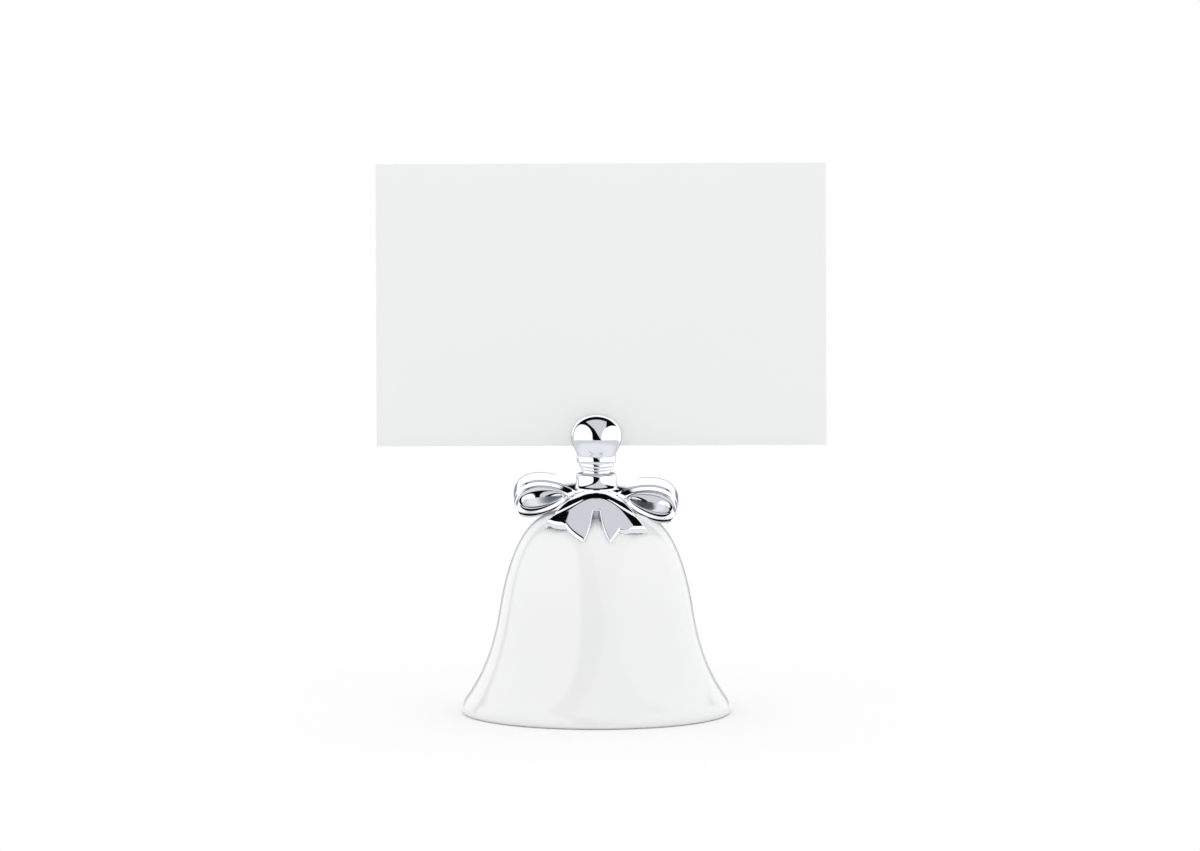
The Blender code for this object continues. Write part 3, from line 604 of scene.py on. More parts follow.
LOOP_RIDGE_POWER = 1.6
LOOP_RIM_START = 5.6 * MM
LOOP_RIM_END = 15.0 * MM
LOOP_RIM_SET = 0.56 * MM
LOOP_RIM_HALF = 2.75 * MM
LOOP_RIM_FATNESS = 0.25
LOOP_VALLEY = 1.0 * MM
LOOP_VALLEY_SHARE = 0.55
LOOP_SWEEP = math.radians(4)
LOOPS = {"left": {"side": -1, "tilt": 2.6}, "right": {"side": 1, "tilt": -2.6}}
LOOP_TURN_STEPS = 180
LOOP_RECESS_STEPS = 34
LOOP_SIDE_STEPS = 5
LOOP_BEND_LIMIT = 0.45
KNOT_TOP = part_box("bow_knot")[1].z
KNOT_FLARE_POWER = 3.2
KNOT_BRIM = 0.75 * MM
KNOT_BRIM_HEIGHT = 0.45 * MM
KNOT_BRIM_THICKNESS = 0.12 * MM
KNOT_ROUND = 0.4 * MM
KNOT_STEPS = 32


def softened_line(corners, size, count):
    """A line through corners, each bend of which is a quadratic Bezier curve that starts and ends nearby."""
    corners = np.array(corners, dtype=float)
    to_next = np.diff(corners, axis=0)
    length = np.linalg.norm(to_next, axis=1)[:, None]
    trim = np.minimum(size, LOOP_BEND_LIMIT * length) * to_next / length
    t = np.linspace(0, 1, count)[:, None, None]
    start, bend, end = corners[1:-1] - trim[:-1], corners[1:-1], corners[1:-1] + trim[1:]
    curves = (1 - t) ** 2 * start + 2 * t * (1 - t) * bend + t**2 * end
    return np.vstack([corners[:1], curves.transpose(1, 0, 2).reshape(-1, 2), corners[-1:]])


def loop_rings(side, tilt):
    """One loop as rings of points, from the crest line in its front recess to that at its back.

    Three curves go round by the angle t: the crest, a straight line there and back, the rim of the recess, an
    egg, and the outline, a teardrop. From the crest the surface falls as a power to a valley, climbs to the
    rim on a smooth step, turns over an edge and runs up two gentle slopes with a small step between them to
    the outline. The crest sinks from the root outwards.
    """
    t = side * np.arange(LOOP_TURN_STEPS) * 2 * math.pi / LOOP_TURN_STEPS
    way = (1 + np.cos(t)) / 2
    length = LOOP_TIP - LOOP_ROOT
    x = LOOP_ROOT + length * way
    height = LOOP_HALF_HEIGHT * np.sin(t) * (1 + LOOP_FATNESS * np.cos(t))
    z = LOOP_ROOT_RISE - LOOP_TIP_DROP * smooth(way) + height
    crest_x = LOOP_CREST_START + (LOOP_CREST_END - LOOP_CREST_START) * way
    crest_z = -LOOP_CREST_SET - LOOP_CREST_FALL * (crest_x - LOOP_CREST_START)
    rim_x = LOOP_RIM_START + (LOOP_RIM_END - LOOP_RIM_START) * way
    rim_height = LOOP_RIM_HALF * np.sin(t) * (1 + LOOP_RIM_FATNESS * np.cos(t))
    rim_z = -LOOP_CREST_SET - LOOP_CREST_FALL * (rim_x - LOOP_CREST_START) - LOOP_RIM_SET + rim_height

    share = np.linspace(0, 1, LOOP_RECESS_STEPS)[:-1, None]
    rise, depth = softened_line(LOOP_SIDE, LOOP_SIDE_ROUND, LOOP_SIDE_STEPS).T[:, :, None]
    out = np.vstack([crest_x + (rim_x - crest_x) * share, rim_x + (x - rim_x) * rise])
    up = np.vstack([crest_z + (rim_z - crest_z) * share, rim_z + (z - rim_z) * rise])
    belly = smooth((out - LOOP_ROOT) / (LOOP_CREST_END - LOOP_ROOT))
    rim_depth = LOOP_ROOT_DEPTH + (LOOP_BELLY_DEPTH - LOOP_ROOT_DEPTH) * belly
    ridge = LOOP_RIDGE * (1 - way) * np.clip(1 - share / LOOP_VALLEY_SHARE, 0, None) ** LOOP_RIDGE_POWER
    climb = smooth((share - LOOP_VALLEY_SHARE) / (1 - LOOP_VALLEY_SHARE))
    recess = LOOP_VALLEY + ridge + (rim_depth[: len(share)] - LOOP_VALLEY) * climb
    side_depth = rim_depth[len(share) :]
    front = np.vstack([-recess, LOOP_RIDGE_BACK - (side_depth + LOOP_RIDGE_BACK) * depth])
    back = np.vstack([recess, LOOP_RIDGE_BACK + (side_depth - LOOP_RIDGE_BACK) * depth])
    out, up = (np.vstack([values, values[-2::-1]]) for values in (out, up))
    front_back = np.vstack([front, back[-2::-1]])

    cos, sin = math.cos(math.radians(tilt)), math.sin(math.radians(tilt))
    across, rise = out * cos - up * sin, out * sin + up * cos
    x = across * math.cos(LOOP_SWEEP) - front_back * math.sin(LOOP_SWEEP)
    y = across * math.sin(LOOP_SWEEP) + front_back * math.cos(LOOP_SWEEP)
    return np.stack([side * x, y, rise + LOOP_MIDDLE], axis=-1)


def lug(side):
    """Half a flat eye with a neck: its outline by the angle round the stud, carried from bottom to top."""
    half_gap = SEAT_GAP / 2
    neck_angle = math.asin(LUG_NECK / 2 / LUG_RADIUS)
    outer_turn = np.linspace(neck_angle, math.acos(half_gap / LUG_RADIUS), LUG_STEPS)
    bore_end = math.acos(half_gap / STUD_BORE)
    bore_turn = np.linspace(bore_end, -bore_end, LUG_BORE_STEPS)
    outer = LUG_RADIUS * np.column_stack([np.cos(outer_turn), np.sin(outer_turn)])
    bore = STUD_BORE * np.column_stack([np.cos(bore_turn), np.sin(bore_turn)])
    outline = np.vstack([outer, bore, outer[::-1] * (1, -1)]) * side
    level = np.array([LUG_BOTTOM + LUG_THICKNESS, LUG_BOTTOM])[:, None, None]
    both = np.broadcast_to(outline, (2, *outline.shape))
    walls = np.concatenate([both, level + 0 * both[:, :, :1]], axis=-1)
    count = len(outline)
    sides, top, bottom = grid_quads(2, count).tolist(), range(count), range(2 * count - 1, count - 1, -1)
    mesh = bpy.data.meshes.new("lug")
    mesh.from_pydata(walls.reshape(-1, 3), [], [*sides, list(top), list(bottom)])
    return mesh


def knot_grid(margin, bore, brim_end):
    """The knot by its profile and the angle round it: a round top edge, then a side that flares to a brim.

    The flare grows as a power of the way down, and the brim as the square of the cosine of the angle from the
    front, where the knot runs out onto the ribbon. Below the brim the foot is upright, and brim_end tells how
    much of the brim's width stays there.
    """
    angle = full_turn(RING_SEGMENTS)
    start, end = KNOT_TOP - KNOT_ROUND, KNOT_FOOT + KNOT_BRIM_HEIGHT
    fall = np.linspace(0, 1, KNOT_STEPS + 1)[1:, None]
    brim = KNOT_BRIM * np.clip(-np.sin(angle), 0, None) ** 2
    foot = knot_foot(-np.sin(angle)) + brim_end * brim
    edge = rounded_top(KNOT_RADIUS, KNOT_TOP, KNOT_ROUND)
    side = KNOT_RADIUS + (knot_foot(-np.sin(angle)) + brim - KNOT_RADIUS) * fall**KNOT_FLARE_POWER
    radius = np.vstack([edge[:, :1] + 0 * angle, side, foot, foot]) + margin
    low = [end - KNOT_BRIM_THICKNESS, KNOT_FOOT + CONTACT]
    height = np.concatenate([edge[:, 1], (start + (end - start) * fall)[:, 0], low])
    radius = np.vstack([bore + 0 * angle, radius, bore + 0 * angle])
    height = np.concatenate([height[:1], height, height[-1:]])[:, None]
    return polar(radius, angle, height)


def turned_solid(name, outline):
    """A solid turned from the outline of its outer side, closed on the axis above and below."""
    profile = np.vstack([[(0, outline[0][1])], outline, [(0, outline[-1][1])]])
    return grid_mesh(name, turned(profile, RING_SEGMENTS))


knot_space = knot_grid(margin=2 * CONTACT, bore=0.0, brim_end=1.0) + (0, 0, -2 * CONTACT)
bell_space = moved_in(bell_outline(BELL_STEPS), -2 * CONTACT)
collar_space = collar_edge + CONTACT
cuts = [
    grid_mesh("knot space", knot_space),
    turned_solid("bell space", bell_space),
    turned_solid("collar space", np.vstack([collar_space, [(COLLAR_RADIUS + CONTACT, BELL_HEIGHT)]])),
]
for name, loop in LOOPS.items():
    puff = grid_mesh("puff", loop_rings(**loop))
    loop_mesh = carved(puff, [*cuts, skirt], [lug(loop["side"])])
    show(f"{name}_loop", loop_mesh, plating, f"bow_loop_{name}", in_mirrors=False)


# The knot: a short drum of the same metal that stands for the wrapped knot and clamps both lugs.
# It is turned, with a round top edge and a foot that flares over the ribbon.
knot_mesh = grid_mesh("knot", knot_grid(margin=0.0, bore=STUD_BORE, brim_end=0.0), True)
show("knot", knot_mesh, plating, "bow_knot", in_mirrors=False)


# The finial: a bulb on a neck of turned beads, screwed onto the stud and slotted across for the card.
# The slot is milled and its edges are polished round before plating.
FINIAL_FOOT = KNOT_TOP + CONTACT
BULB_RADIUS = 4.82 * MM
BULB_DOME = 4.1 * MM
BULB_TAPER = 3.7 * MM
BULB_EQUATOR = 53.05 * MM
BULB_BELLY_PULL = 1.5 * MM
BULB_FOOT_RADIUS = 3.6 * MM
BULB_FOOT_LEAN = 20.0
BULB_FOOT_PULL = 0.9 * MM
BEADS = ((3.74 * MM, 1.4 * MM), (3.25 * MM, 0.8 * MM), (2.97 * MM, 0.6 * MM), (2.7 * MM, 0.68 * MM))
BEAD_GROOVE = 0.15 * MM
SLOT_HALF = 0.55 * MM
SLOT_FLOOR = 51.15 * MM
SLOT_EDGE = 0.3 * MM
SLOT_EDGE_FADE = math.radians(20)
STUD_HOLE_TOP = 49.85 * MM
FINIAL_COLUMNS = 97
BULB_STEPS = 200
BEAD_STEPS = 14
DOME_STEPS = 30
TAPER_STEPS = 12
TAPER_LOW_STEPS = 14
SLOT_EDGE_STEPS = 10
SLOT_END_COLUMNS = 7
SLOT_TOLERANCE = 1e-9


def bulb_taper(height):
    """The radius of the bulb at a height below its equator, read off its Bezier curve."""
    belly = np.array([BULB_RADIUS, BULB_EQUATOR])
    foot = np.array([BULB_FOOT_RADIUS, BULB_EQUATOR - BULB_TAPER])
    foot_pull = foot - leaning(-BULB_FOOT_LEAN) * BULB_FOOT_PULL
    curve = np.vstack([bezier(belly, belly - (0, BULB_BELLY_PULL), foot_pull, foot, BULB_STEPS), [foot]])
    return np.interp(height, curve[::-1, 1], curve[::-1, 0])


def beads_down(top):
    """The turned beads of the neck, each a half ellipse between two grooves, one below the other."""
    turn = np.linspace(0, math.pi, BEAD_STEPS)
    rows = []
    for radius, height in BEADS:
        reach, level = radius - BEAD_GROOVE * (1 - np.sin(turn)), top - height * (1 - np.cos(turn)) / 2
        rows.append(np.column_stack([reach, level]))
        top -= height
    return np.vstack(rows)


def finial_grid():
    """The finial as one grid: columns go round the axis, and rows follow its surface from top to bottom.

    From the middle of the slot's floor a column climbs the wall of the slot, where the distance from the axis
    is the slot's half width over the sine of the column's angle. It bends over the edge on a parabola, falls
    down the dome and the taper to the beads, and goes in under the foot and up the hole of the stud. Columns
    in the ends of the slot have no wall. Near them, the angle follows the slot's edge round the bulge.
    """
    floor_radius = bulb_taper(SLOT_FLOOR)
    end_angle = math.asin(SLOT_HALF / floor_radius)
    half = end_angle + (math.pi - 2 * end_angle) * eased(0, 1, FINIAL_COLUMNS)
    end = math.pi + np.linspace(-end_angle, end_angle, SLOT_END_COLUMNS)[1:-1]
    azimuth = np.concatenate([half, end, half + math.pi, end + math.pi])
    in_end = np.abs(np.sin(azimuth)) < math.sin(end_angle) - SLOT_TOLERANCE
    angle = np.arcsin(np.clip(np.abs(np.sin(azimuth)), math.sin(end_angle), 1))

    edge = SLOT_EDGE * smooth((angle - end_angle) / SLOT_EDGE_FADE)
    wall = SLOT_HALF / np.sin(angle)
    shoulder = (SLOT_HALF + edge) / np.sin(angle)
    cut_height = BULB_EQUATOR + BULB_DOME * np.sqrt(1 - (wall / BULB_RADIUS) ** 2)
    shoulder_turn = np.arcsin(shoulder / BULB_RADIUS)
    shoulder_height = BULB_EQUATOR + BULB_DOME * np.cos(shoulder_turn)
    wall_top = cut_height - edge

    quarter = math.pi / 2
    dome_turn = quarter + (shoulder_turn - quarter) * np.linspace(0, 1, DOME_STEPS)[:, None]
    taper_height = straight(SLOT_FLOOR, BULB_EQUATOR, TAPER_STEPS)[:, None] + 0 * angle
    outer = np.vstack([bulb_taper(taper_height), BULB_RADIUS * np.sin(dome_turn)])
    outer_height = np.vstack([taper_height, BULB_EQUATOR + BULB_DOME * np.cos(dome_turn)])
    edge_angle = np.arcsin(SLOT_HALF / np.maximum(outer, floor_radius))
    turn = edge_angle + (angle - end_angle) * (quarter - edge_angle) / (quarter - end_angle)
    climb = (wall_top - SLOT_FLOOR) / (shoulder_height - SLOT_FLOOR)
    wall_height = SLOT_FLOOR + (outer_height - SLOT_FLOOR) * climb
    bend = np.linspace(0, 1, SLOT_EDGE_STEPS)[1:-1, None]
    bend_radius = wall + (shoulder - wall) * bend**2
    bend_height = (1 - bend) ** 2 * wall_top + 2 * bend * (1 - bend) * cut_height + bend**2 * shoulder_height

    radius = np.vstack([SLOT_HALF / np.sin(turn), bend_radius, outer[::-1]])
    height = np.vstack([wall_height, bend_height, outer_height[::-1]])
    turn = np.vstack([turn, angle + 0 * bend, turn[::-1]])
    radius = np.where(in_end, floor_radius, radius)
    height = np.where(in_end, SLOT_FLOOR, height)
    turn = np.where(in_end, np.arcsin(np.abs(np.sin(azimuth))), turn)
    across, along = np.sign(np.cos(azimuth)), np.sign(np.sin(azimuth))
    upper = np.stack([across * radius * np.cos(turn), along * radius * np.sin(turn), height], axis=-1)

    taper_low = np.linspace(SLOT_FLOOR, BULB_EQUATOR - BULB_TAPER, TAPER_LOW_STEPS)[1:-1]
    below = np.vstack(
        [
            np.column_stack([bulb_taper(taper_low), taper_low]),
            beads_down(BULB_EQUATOR - BULB_TAPER),
            [(STUD_BORE, FINIAL_FOOT), (STUD_BORE, STUD_HOLE_TOP), (0, STUD_HOLE_TOP)],
        ]
    )
    lower = polar(below[:, 0, None], azimuth, below[:, 1, None])
    middle = np.zeros((1, len(azimuth), 3)) + (0, 0, SLOT_FLOOR)
    points = np.concatenate([middle, upper, lower])
    quads = grid_quads(*points.shape[:2]).reshape(len(points) - 1, len(azimuth), 4)
    row = np.arange(len(points) - 1)
    in_wall = (row > 0) & (row < len(upper))
    beside_end = in_end | np.roll(in_end, -1)
    return points, quads[~(in_wall[:, None] & beside_end)]


finial_mesh = mesh_of("finial", *finial_grid())
show("finial", finial_mesh, plating, "card_finial", in_mirrors=False)


# The clamp: a threaded stud, a gasket, a washer and a hexagon nut of zinc plated steel, inside the bell.
# The nut pulls the finial, the bow and the crown of the bell together.
STUD_RADIUS = 1.5 * MM
STUD_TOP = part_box("clamp_stud")[1].z
STUD_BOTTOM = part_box("clamp_stud")[0].z
STUD_CHAMFER = 0.5 * MM
THREAD_PITCH = 0.5 * MM
THREAD_DEPTH = 0.3 * MM
THREAD_STEPS = 10
THREAD_FLAT = 0.1
STUD_SEGMENTS = 48
INNER_GASKET_RADIUS = 4.6 * MM
INNER_GASKET_TOP = BELL_HEIGHT - BELL_WALL - CONTACT
INNER_GASKET_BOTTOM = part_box("inner_gasket")[0].z
WASHER_RADIUS = 3.5 * MM
WASHER_TOP = INNER_GASKET_BOTTOM - CONTACT
WASHER_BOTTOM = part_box("clamp_washer")[0].z
WASHER_ROUND = 0.12 * MM
NUT_FLAT = 2.75 * MM
NUT_TOP = WASHER_BOTTOM - CONTACT
NUT_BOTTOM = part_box("clamp_nut")[0].z
NUT_CHAMFER_START = 2.6 * MM
NUT_CHAMFER_SLOPE = math.tan(math.radians(30))
NUT_COUNTERSINK = 0.25 * MM
NUT_SEGMENTS = 144
NUT_SHARP_ANGLE = 20.0


def zinc_plate():
    """Bright zinc plating over turned steel: a soft grey metal with small crystals and a dull sheen."""
    crystal = 0.35 * MM  # the real crystals are finer, and these are as fine as they can be and show
    cloud_width = 1.6 * MM
    material, tree, place = new_material("zinc plated steel")
    crystals = node(tree, "TexVoronoi", {"Vector": place, "Scale": 1 / crystal})
    cloud = node(tree, "TexNoise", {"Vector": place, "Scale": 1 / cloud_width, "Detail": 3.0})
    greys = {"Factor": cloud, "A": colour("#B4B7BA"), "B": colour("#C9CAC6")}
    grey = node(tree, "Mix", greys, data_type="RGBA")
    shade = node(tree, "SeparateColor", {"Color": crystals.outputs["Color"]})
    sheen = node(tree, "MapRange", {"Value": shade, "To Min": 0.26, "To Max": 0.42})
    facets = {"Height": shade, "Strength": 0.15, "Distance": 0.01 * MM}
    return coated(material, tree, facets, {"Base Color": grey, "Metallic": 1.0, "Roughness": sheen})


def stud_grid():
    """The stud by height and angle: its radius dips by a triangle wave of height over pitch less angle.

    The wave is cut flat at its crests and roots. Both ends are cut back to a cone, so the radius is the
    lesser of the thread and the chamfer.
    """
    count = round((STUD_TOP - STUD_BOTTOM) / THREAD_PITCH * THREAD_STEPS)
    height = np.linspace(STUD_TOP, STUD_BOTTOM, count)[:, None]
    angle = full_turn(STUD_SEGMENTS)
    phase = (height / THREAD_PITCH - angle / (2 * math.pi)) % 1
    flank = np.clip((1 - np.abs(2 * phase - 1) - THREAD_FLAT) / (1 - 2 * THREAD_FLAT), 0, 1)
    to_end = np.minimum(STUD_TOP - height, height - STUD_BOTTOM)
    radius = np.minimum(STUD_RADIUS - THREAD_DEPTH * flank, STUD_RADIUS - STUD_CHAMFER + to_end)
    body = polar(radius, angle, height)
    caps = np.zeros((2, STUD_SEGMENTS, 3)) + np.array([[[0, 0, STUD_TOP]], [[0, 0, STUD_BOTTOM]]])
    return np.concatenate([caps[:1], body, caps[1:]])


def nut_grid():
    """The nut by profile and angle: a hexagon's distance, flat over cosine, cut by a cone at both ends."""
    angle = full_turn(NUT_SEGMENTS)
    sixth = math.pi / 3
    hexagon = NUT_FLAT / np.cos((angle + sixth / 2) % sixth - sixth / 2)
    chamfer = (hexagon - NUT_CHAMFER_START) * NUT_CHAMFER_SLOPE
    rows = (
        (STUD_BORE, NUT_TOP - NUT_COUNTERSINK),
        (STUD_BORE + NUT_COUNTERSINK, NUT_TOP),
        (NUT_CHAMFER_START, NUT_TOP),
        (hexagon, NUT_TOP - chamfer),
        (hexagon, NUT_BOTTOM + chamfer),
        (NUT_CHAMFER_START, NUT_BOTTOM),
        (STUD_BORE + NUT_COUNTERSINK, NUT_BOTTOM),
        (STUD_BORE, NUT_BOTTOM + NUT_COUNTERSINK),
    )
    return np.stack([polar(radius, angle, height) for radius, height in rows])


zinc = zinc_plate()
stud_mesh = grid_mesh("stud", stud_grid())
show("stud", stud_mesh, zinc, "clamp_stud", in_mirrors=False)

profile = squeezed_ring(INNER_GASKET_RADIUS, GASKET_BULGE, INNER_GASKET_BOTTOM, INNER_GASKET_TOP)
inner_ring_mesh = grid_mesh("inner ring", turned(profile, RING_SEGMENTS), True)
show("inner_ring", inner_ring_mesh, rubber, "inner_gasket")

upper = rounded_top(WASHER_RADIUS, WASHER_TOP, WASHER_ROUND)
lower = (upper * (1, -1) + (0, WASHER_TOP + WASHER_BOTTOM))[::-1]
profile = np.vstack([[(STUD_BORE, WASHER_TOP)], upper, lower, [(STUD_BORE, WASHER_BOTTOM)]])
washer_mesh = grid_mesh("washer", turned(profile, RING_SEGMENTS), True)
show("washer", washer_mesh, zinc, "clamp_washer")

nut_mesh = grid_mesh("nut", nut_grid(), True, NUT_SHARP_ANGLE)
show("nut", nut_mesh, zinc, "clamp_nut")


# The card: a blank of heavy white board, cut to the size of a visiting card.
# It stands on the floor of the slot by its own weight and lifts out.
CARD_WIDTH = 85.6 * MM
CARD_HEIGHT = 54.0 * MM
CARD_THICKNESS = 0.5 * MM
CARD_MIDDLE = 1.0 * MM
CARD_TILT = math.radians(0.2)
CARD_EDGE = 0.05 * MM
CARD_BOTTOM = SLOT_FLOOR + CONTACT
CARD_COLUMNS = 25
CARD_ROWS = 17


def white_board():
    """Uncoated bristol board: a neutral off-white, matt, with fibres that show only close by."""
    fibre_length = 1.8 * MM
    fibre_width = 0.12 * MM  # real fibres are thinner, and these are as thin as they can be and show
    cloud_width = 14 * MM
    material, tree, place = new_material("white card board")
    fibre_scale = {"Vector": place, "Scale": (1 / fibre_length, 1 / fibre_width, 1 / fibre_width)}
    drawn = node(tree, "Mapping", fibre_scale)
    fibres = node(tree, "TexNoise", {"Vector": drawn, "Scale": 1.0, "Detail": 3.0})
    cloud = node(tree, "TexNoise", {"Vector": place, "Scale": 1 / cloud_width, "Detail": 2.0})
    whites = {"Factor": cloud, "A": colour("#EDEFEE"), "B": colour("#ECEEED")}
    white = node(tree, "Mix", whites, data_type="RGBA")
    matt = node(tree, "MapRange", {"Value": fibres, "To Min": 0.75, "To Max": 0.9})
    tooth = {"Height": fibres, "Strength": 0.2, "Distance": 0.01 * MM}
    surface = {"Base Color": white, "Roughness": matt, "IOR": 1.45, "Specular IOR Level": 0.2}
    return coated(material, tree, tooth, surface)


def card_grid():
    """A flat grid of the card's width and height, turned a little in its plane about its foot's middle."""
    across, up = np.meshgrid(np.linspace(-0.5, 0.5, CARD_COLUMNS), np.linspace(0, 1, CARD_ROWS))
    across, up = across * CARD_WIDTH, up * CARD_HEIGHT
    x = CARD_MIDDLE + across * math.cos(CARD_TILT) - up * math.sin(CARD_TILT)
    z = CARD_BOTTOM + across * math.sin(CARD_TILT) + up * math.cos(CARD_TILT)
    return np.stack([x, 0 * x - CARD_THICKNESS / 2, z], axis=-1)


points = card_grid()
card_mesh = mesh_of("card", points, grid_quads(*points.shape[:2], round_columns=False)[:, ::-1])
card = show("card", card_mesh, white_board(), "menu_card", "card", in_mirrors=False)
thickness = card.modifiers.new("board", "SOLIDIFY")
thickness.thickness = CARD_THICKNESS
thickness.offset = -1.0
softened = card.modifiers.new("cut edge", "BEVEL")
softened.width = CARD_EDGE
softened.segments = 2
softened.limit_method = "ANGLE"


# The studio: a small round table with a pale top, in a pale grey tent with two softboxes and dark flags.
# The camera looks at the front from a little above, with a long lens.
CAMERA_RISE = math.radians(7.1)
CAMERA_DISTANCE = 6.0
CAMERA_AIM = np.array([0.7 * MM, 0.0, 55.0 * MM])
FRAME_WIDTH = 228.3 * MM
TABLE_RADIUS = 190 * MM
TABLE_DROP = 0.05 * MM
TABLE_FADE_START = 60 * MM
TABLE_FADE_END = 120 * MM
TABLE_ALBEDO = 0.86
TABLE_IN_MIRRORS = 0.77
AMBIENT = 1.04
TENT_GREY = 0.77
TENT_DARK = 0.003
TENT_ELLIPSES = {
    "reach": ((0.0, 0.0), (1.0, 1.0)),
    "from_left_box": ((-0.52, 0.0), (0.37, 0.60)),
    "from_right_box": ((0.60, -0.03), (0.40, 0.57)),
}
# Each step has its name, its operation and its inputs, which are numbers or the names of earlier values.
TENT_STEPS = (
    ("left_box", "SMOOTHSTEP", "from_left_box", 1.03, 0.95),
    ("right_box", "SMOOTHSTEP", "from_right_box", 1.03, 0.95),
    ("upper", "SMOOTHSTEP", "w", -0.02, 0.04),
    ("past_ring_start", "SMOOTHSTEP", "reach", 0.79, 0.81),
    ("before_ring_end", "SMOOTHSTEP", "reach", 0.92, 0.90),
    ("whole_ring", "MULTIPLY", "past_ring_start", "before_ring_end"),
    ("ring", "MULTIPLY", "whole_ring", "upper"),
    ("corner_side", "SMOOTHSTEP", "u", 0.36, 0.38),
    ("corner_height", "SMOOTHSTEP", "w", 0.28, 0.32),
    ("corner", "MULTIPLY", "corner_side", "corner_height"),
    ("flag_slant", "MULTIPLY_ADD", "w", -0.45, 0.10),
    ("over_bend", "SUBTRACT", "w", 0.33),
    ("in_bend", "MAXIMUM", "over_bend", 0.0),
    ("bend", "POWER", "in_bend", 1.5),
    ("flag_edge", "MULTIPLY_ADD", "bend", -0.65, "flag_slant"),
    ("from_flag_edge", "SUBTRACT", "u", "flag_edge"),
    ("left_of_edge", "SMOOTHSTEP", "from_flag_edge", 0.012, -0.012),
    ("within_flag", "SMOOTHSTEP", "from_flag_edge", -0.32, -0.28),
    ("flag", "MULTIPLY", "left_of_edge", "within_flag"),
    ("past_ring", "SMOOTHSTEP", "reach", 0.90, 0.92),
    ("backdrop", "MULTIPLY", "past_ring", "upper"),
    ("grazing", "SMOOTHSTEP", "reach", 0.972, 0.985),
    ("seen", "ADD", "camera", "through"),
    ("unseen", "SUBTRACT", 1.0, "seen"),
    ("diffuse", "SUBTRACT", "unseen", "mirrored"),
    ("plain", "MULTIPLY_ADD", "diffuse", AMBIENT, "seen"),
)
# Each layer covers those before it where its value is 1, and shines with this strength.
TENT_LAYERS = (
    ("corner", TENT_DARK),
    ("flag", TENT_DARK),
    ("ring", TENT_DARK),
    ("left_box", 1.4),
    ("right_box", 1.4),
    ("backdrop", 1.25),
    ("grazing", 0.3),
)


def pale_table():
    """A pale satin table top: it takes the soft shadow near the bell and turns to plain white outwards."""
    material, tree, place = new_material("pale table")
    path = node(tree, "LightPath").outputs
    distance = node(tree, "VectorMath", {0: place}, operation="LENGTH")
    seen = node(tree, "Math", {0: path["Is Camera Ray"], 1: path["Is Glossy Ray"]}, operation="ADD")
    seen = node(tree, "Math", {0: seen, 1: path["Is Transmission Ray"]}, operation="ADD")
    fade = {"Value": distance, "From Min": TABLE_FADE_START, "From Max": TABLE_FADE_END}
    away = node(tree, "MapRange", fade, interpolation_type="SMOOTHSTEP")
    top = node(tree, "BsdfDiffuse", {"Color": (TABLE_ALBEDO, TABLE_ALBEDO, TABLE_ALBEDO, 1)})
    fill = node(tree, "Math", {0: seen, 1: 1 - TABLE_ALBEDO * AMBIENT}, operation="MULTIPLY")
    glow = node(tree, "Emission", {"Strength": fill})
    near = node(tree, "AddShader", {0: top, 1: glow})
    dimming = {0: path["Is Glossy Ray"], 1: TABLE_IN_MIRRORS - 1, 2: 1.0}
    dimmer = node(tree, "Math", dimming, operation="MULTIPLY_ADD")
    plain = node(tree, "Emission", {"Strength": dimmer})
    shader = node(tree, "MixShader", {0: away, 1: near, 2: plain})
    node(tree, "OutputMaterial", {"Surface": shader})
    return material


table_profile = np.array([(0.0, -TABLE_DROP), (TABLE_RADIUS, -TABLE_DROP)])
table_mesh = grid_mesh("table", turned(table_profile, RING_SEGMENTS))
table_mesh.materials.append(pale_table())
placed("table", table_mesh)

to_camera = np.array([0.0, -math.cos(CAMERA_RISE), math.sin(CAMERA_RISE)])
camera_data = bpy.data.cameras.new("camera")
camera = placed("camera", camera_data)
camera.location = CAMERA_AIM + to_camera * CAMERA_DISTANCE
camera.rotation_euler = (math.pi / 2 - CAMERA_RISE, 0.0, 0.0)
camera_data.sensor_width = 36.0
camera_data.lens = camera_data.sensor_width * CAMERA_DISTANCE / FRAME_WIDTH
camera_data.clip_end = 20.0
bpy.context.scene.camera = camera
bpy.context.scene.view_settings.view_transform = "Standard"


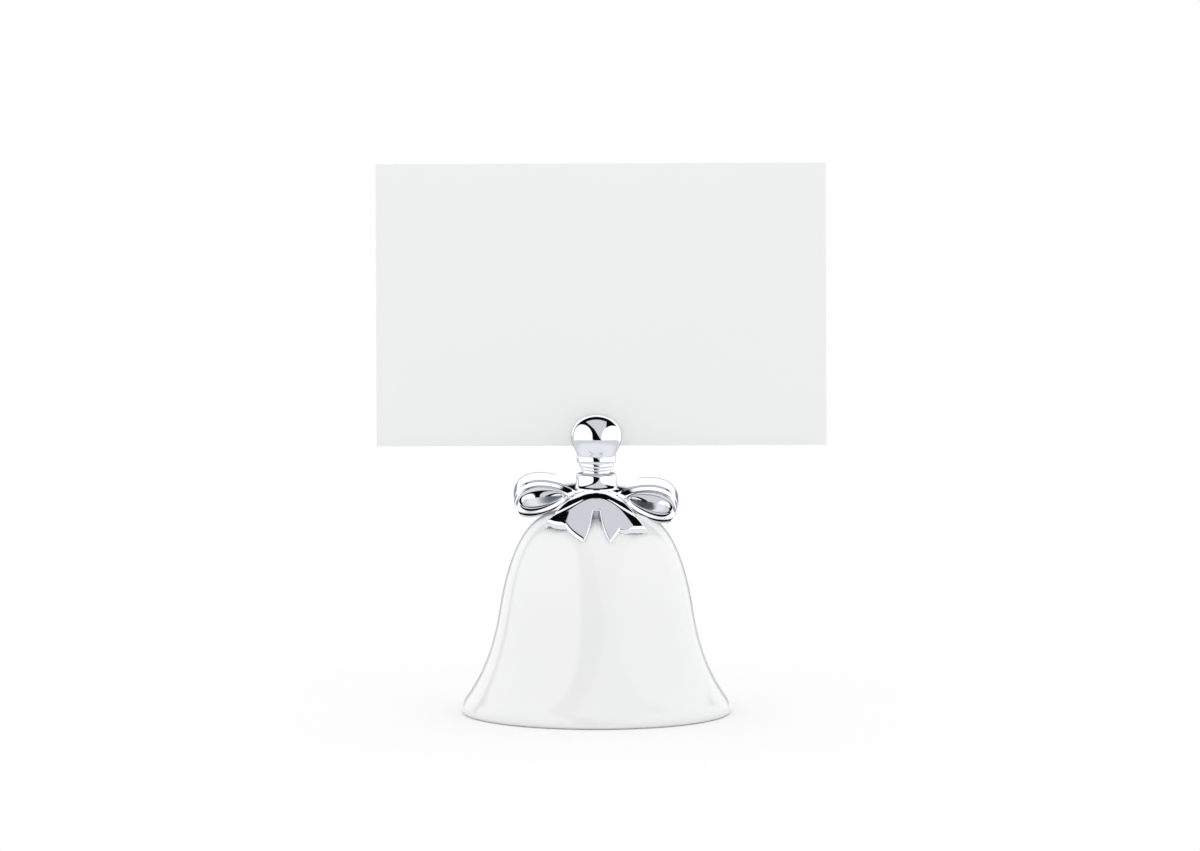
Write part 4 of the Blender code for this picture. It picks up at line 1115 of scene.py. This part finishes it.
def tent_world():
    """The tent as mirrors show it: a direction is named by the tilt of a mirror that sends it to the front.

    The tilt is half way between the direction and the way to the camera. Its share to the right is u, its
    share upwards is w, and its reach is their length. White softboxes are ellipses in u and w, a dark flag
    hangs between them along a curve, a dark ring runs round the top, and the backdrop behind it is white.
    """
    world = bpy.data.worlds.new("studio")
    world.use_nodes = True
    tree = world.node_tree
    tree.nodes.clear()
    way = node(tree, "TexCoord").outputs["Generated"]
    middle = node(tree, "VectorMath", {0: way, 1: to_camera.tolist()}, operation="ADD")
    tilt = node(tree, "VectorMath", {0: middle}, operation="NORMALIZE")
    upwards = (0.0, math.sin(CAMERA_RISE), math.cos(CAMERA_RISE))
    u = node(tree, "SeparateXYZ", {0: tilt}).outputs["X"]
    w = node(tree, "VectorMath", {0: tilt, 1: upwards}, operation="DOT_PRODUCT")
    spot = node(tree, "CombineXYZ", {"X": u, "Y": w})
    path = node(tree, "LightPath").outputs
    values = {"u": u, "w": w, "mirrored": path["Is Glossy Ray"]}
    values |= {"camera": path["Is Camera Ray"], "through": path["Is Transmission Ray"]}
    for name, (centre, radii) in TENT_ELLIPSES.items():
        sizes = {"Vector": spot, "Location": (*centre, 0.0), "Scale": (*radii, 1.0)}
        unit = node(tree, "Mapping", sizes, vector_type="TEXTURE")
        values[name] = node(tree, "VectorMath", {0: unit}, operation="LENGTH")
    for name, operation, *inputs in TENT_STEPS:
        soft_edge = operation == "SMOOTHSTEP"
        kind, setting = ("MapRange", "interpolation_type") if soft_edge else ("Math", "operation")
        sockets = {place: values.get(value, value) for place, value in enumerate(inputs)}
        values[name] = node(tree, kind, sockets, **{setting: operation})
    pattern = TENT_GREY
    for name, strength in TENT_LAYERS:
        pattern = node(tree, "Mix", {"Factor": values[name], "A": pattern, "B": strength})
    sockets = {0: values["mirrored"], 1: pattern, 2: values["plain"]}
    strength = node(tree, "Math", sockets, operation="MULTIPLY_ADD")
    background = node(tree, "Background", {"Color": (1, 1, 1, 1), "Strength": strength})
    node(tree, "OutputWorld", {"Surface": background})
    return world


bpy.context.scene.world = tent_world()
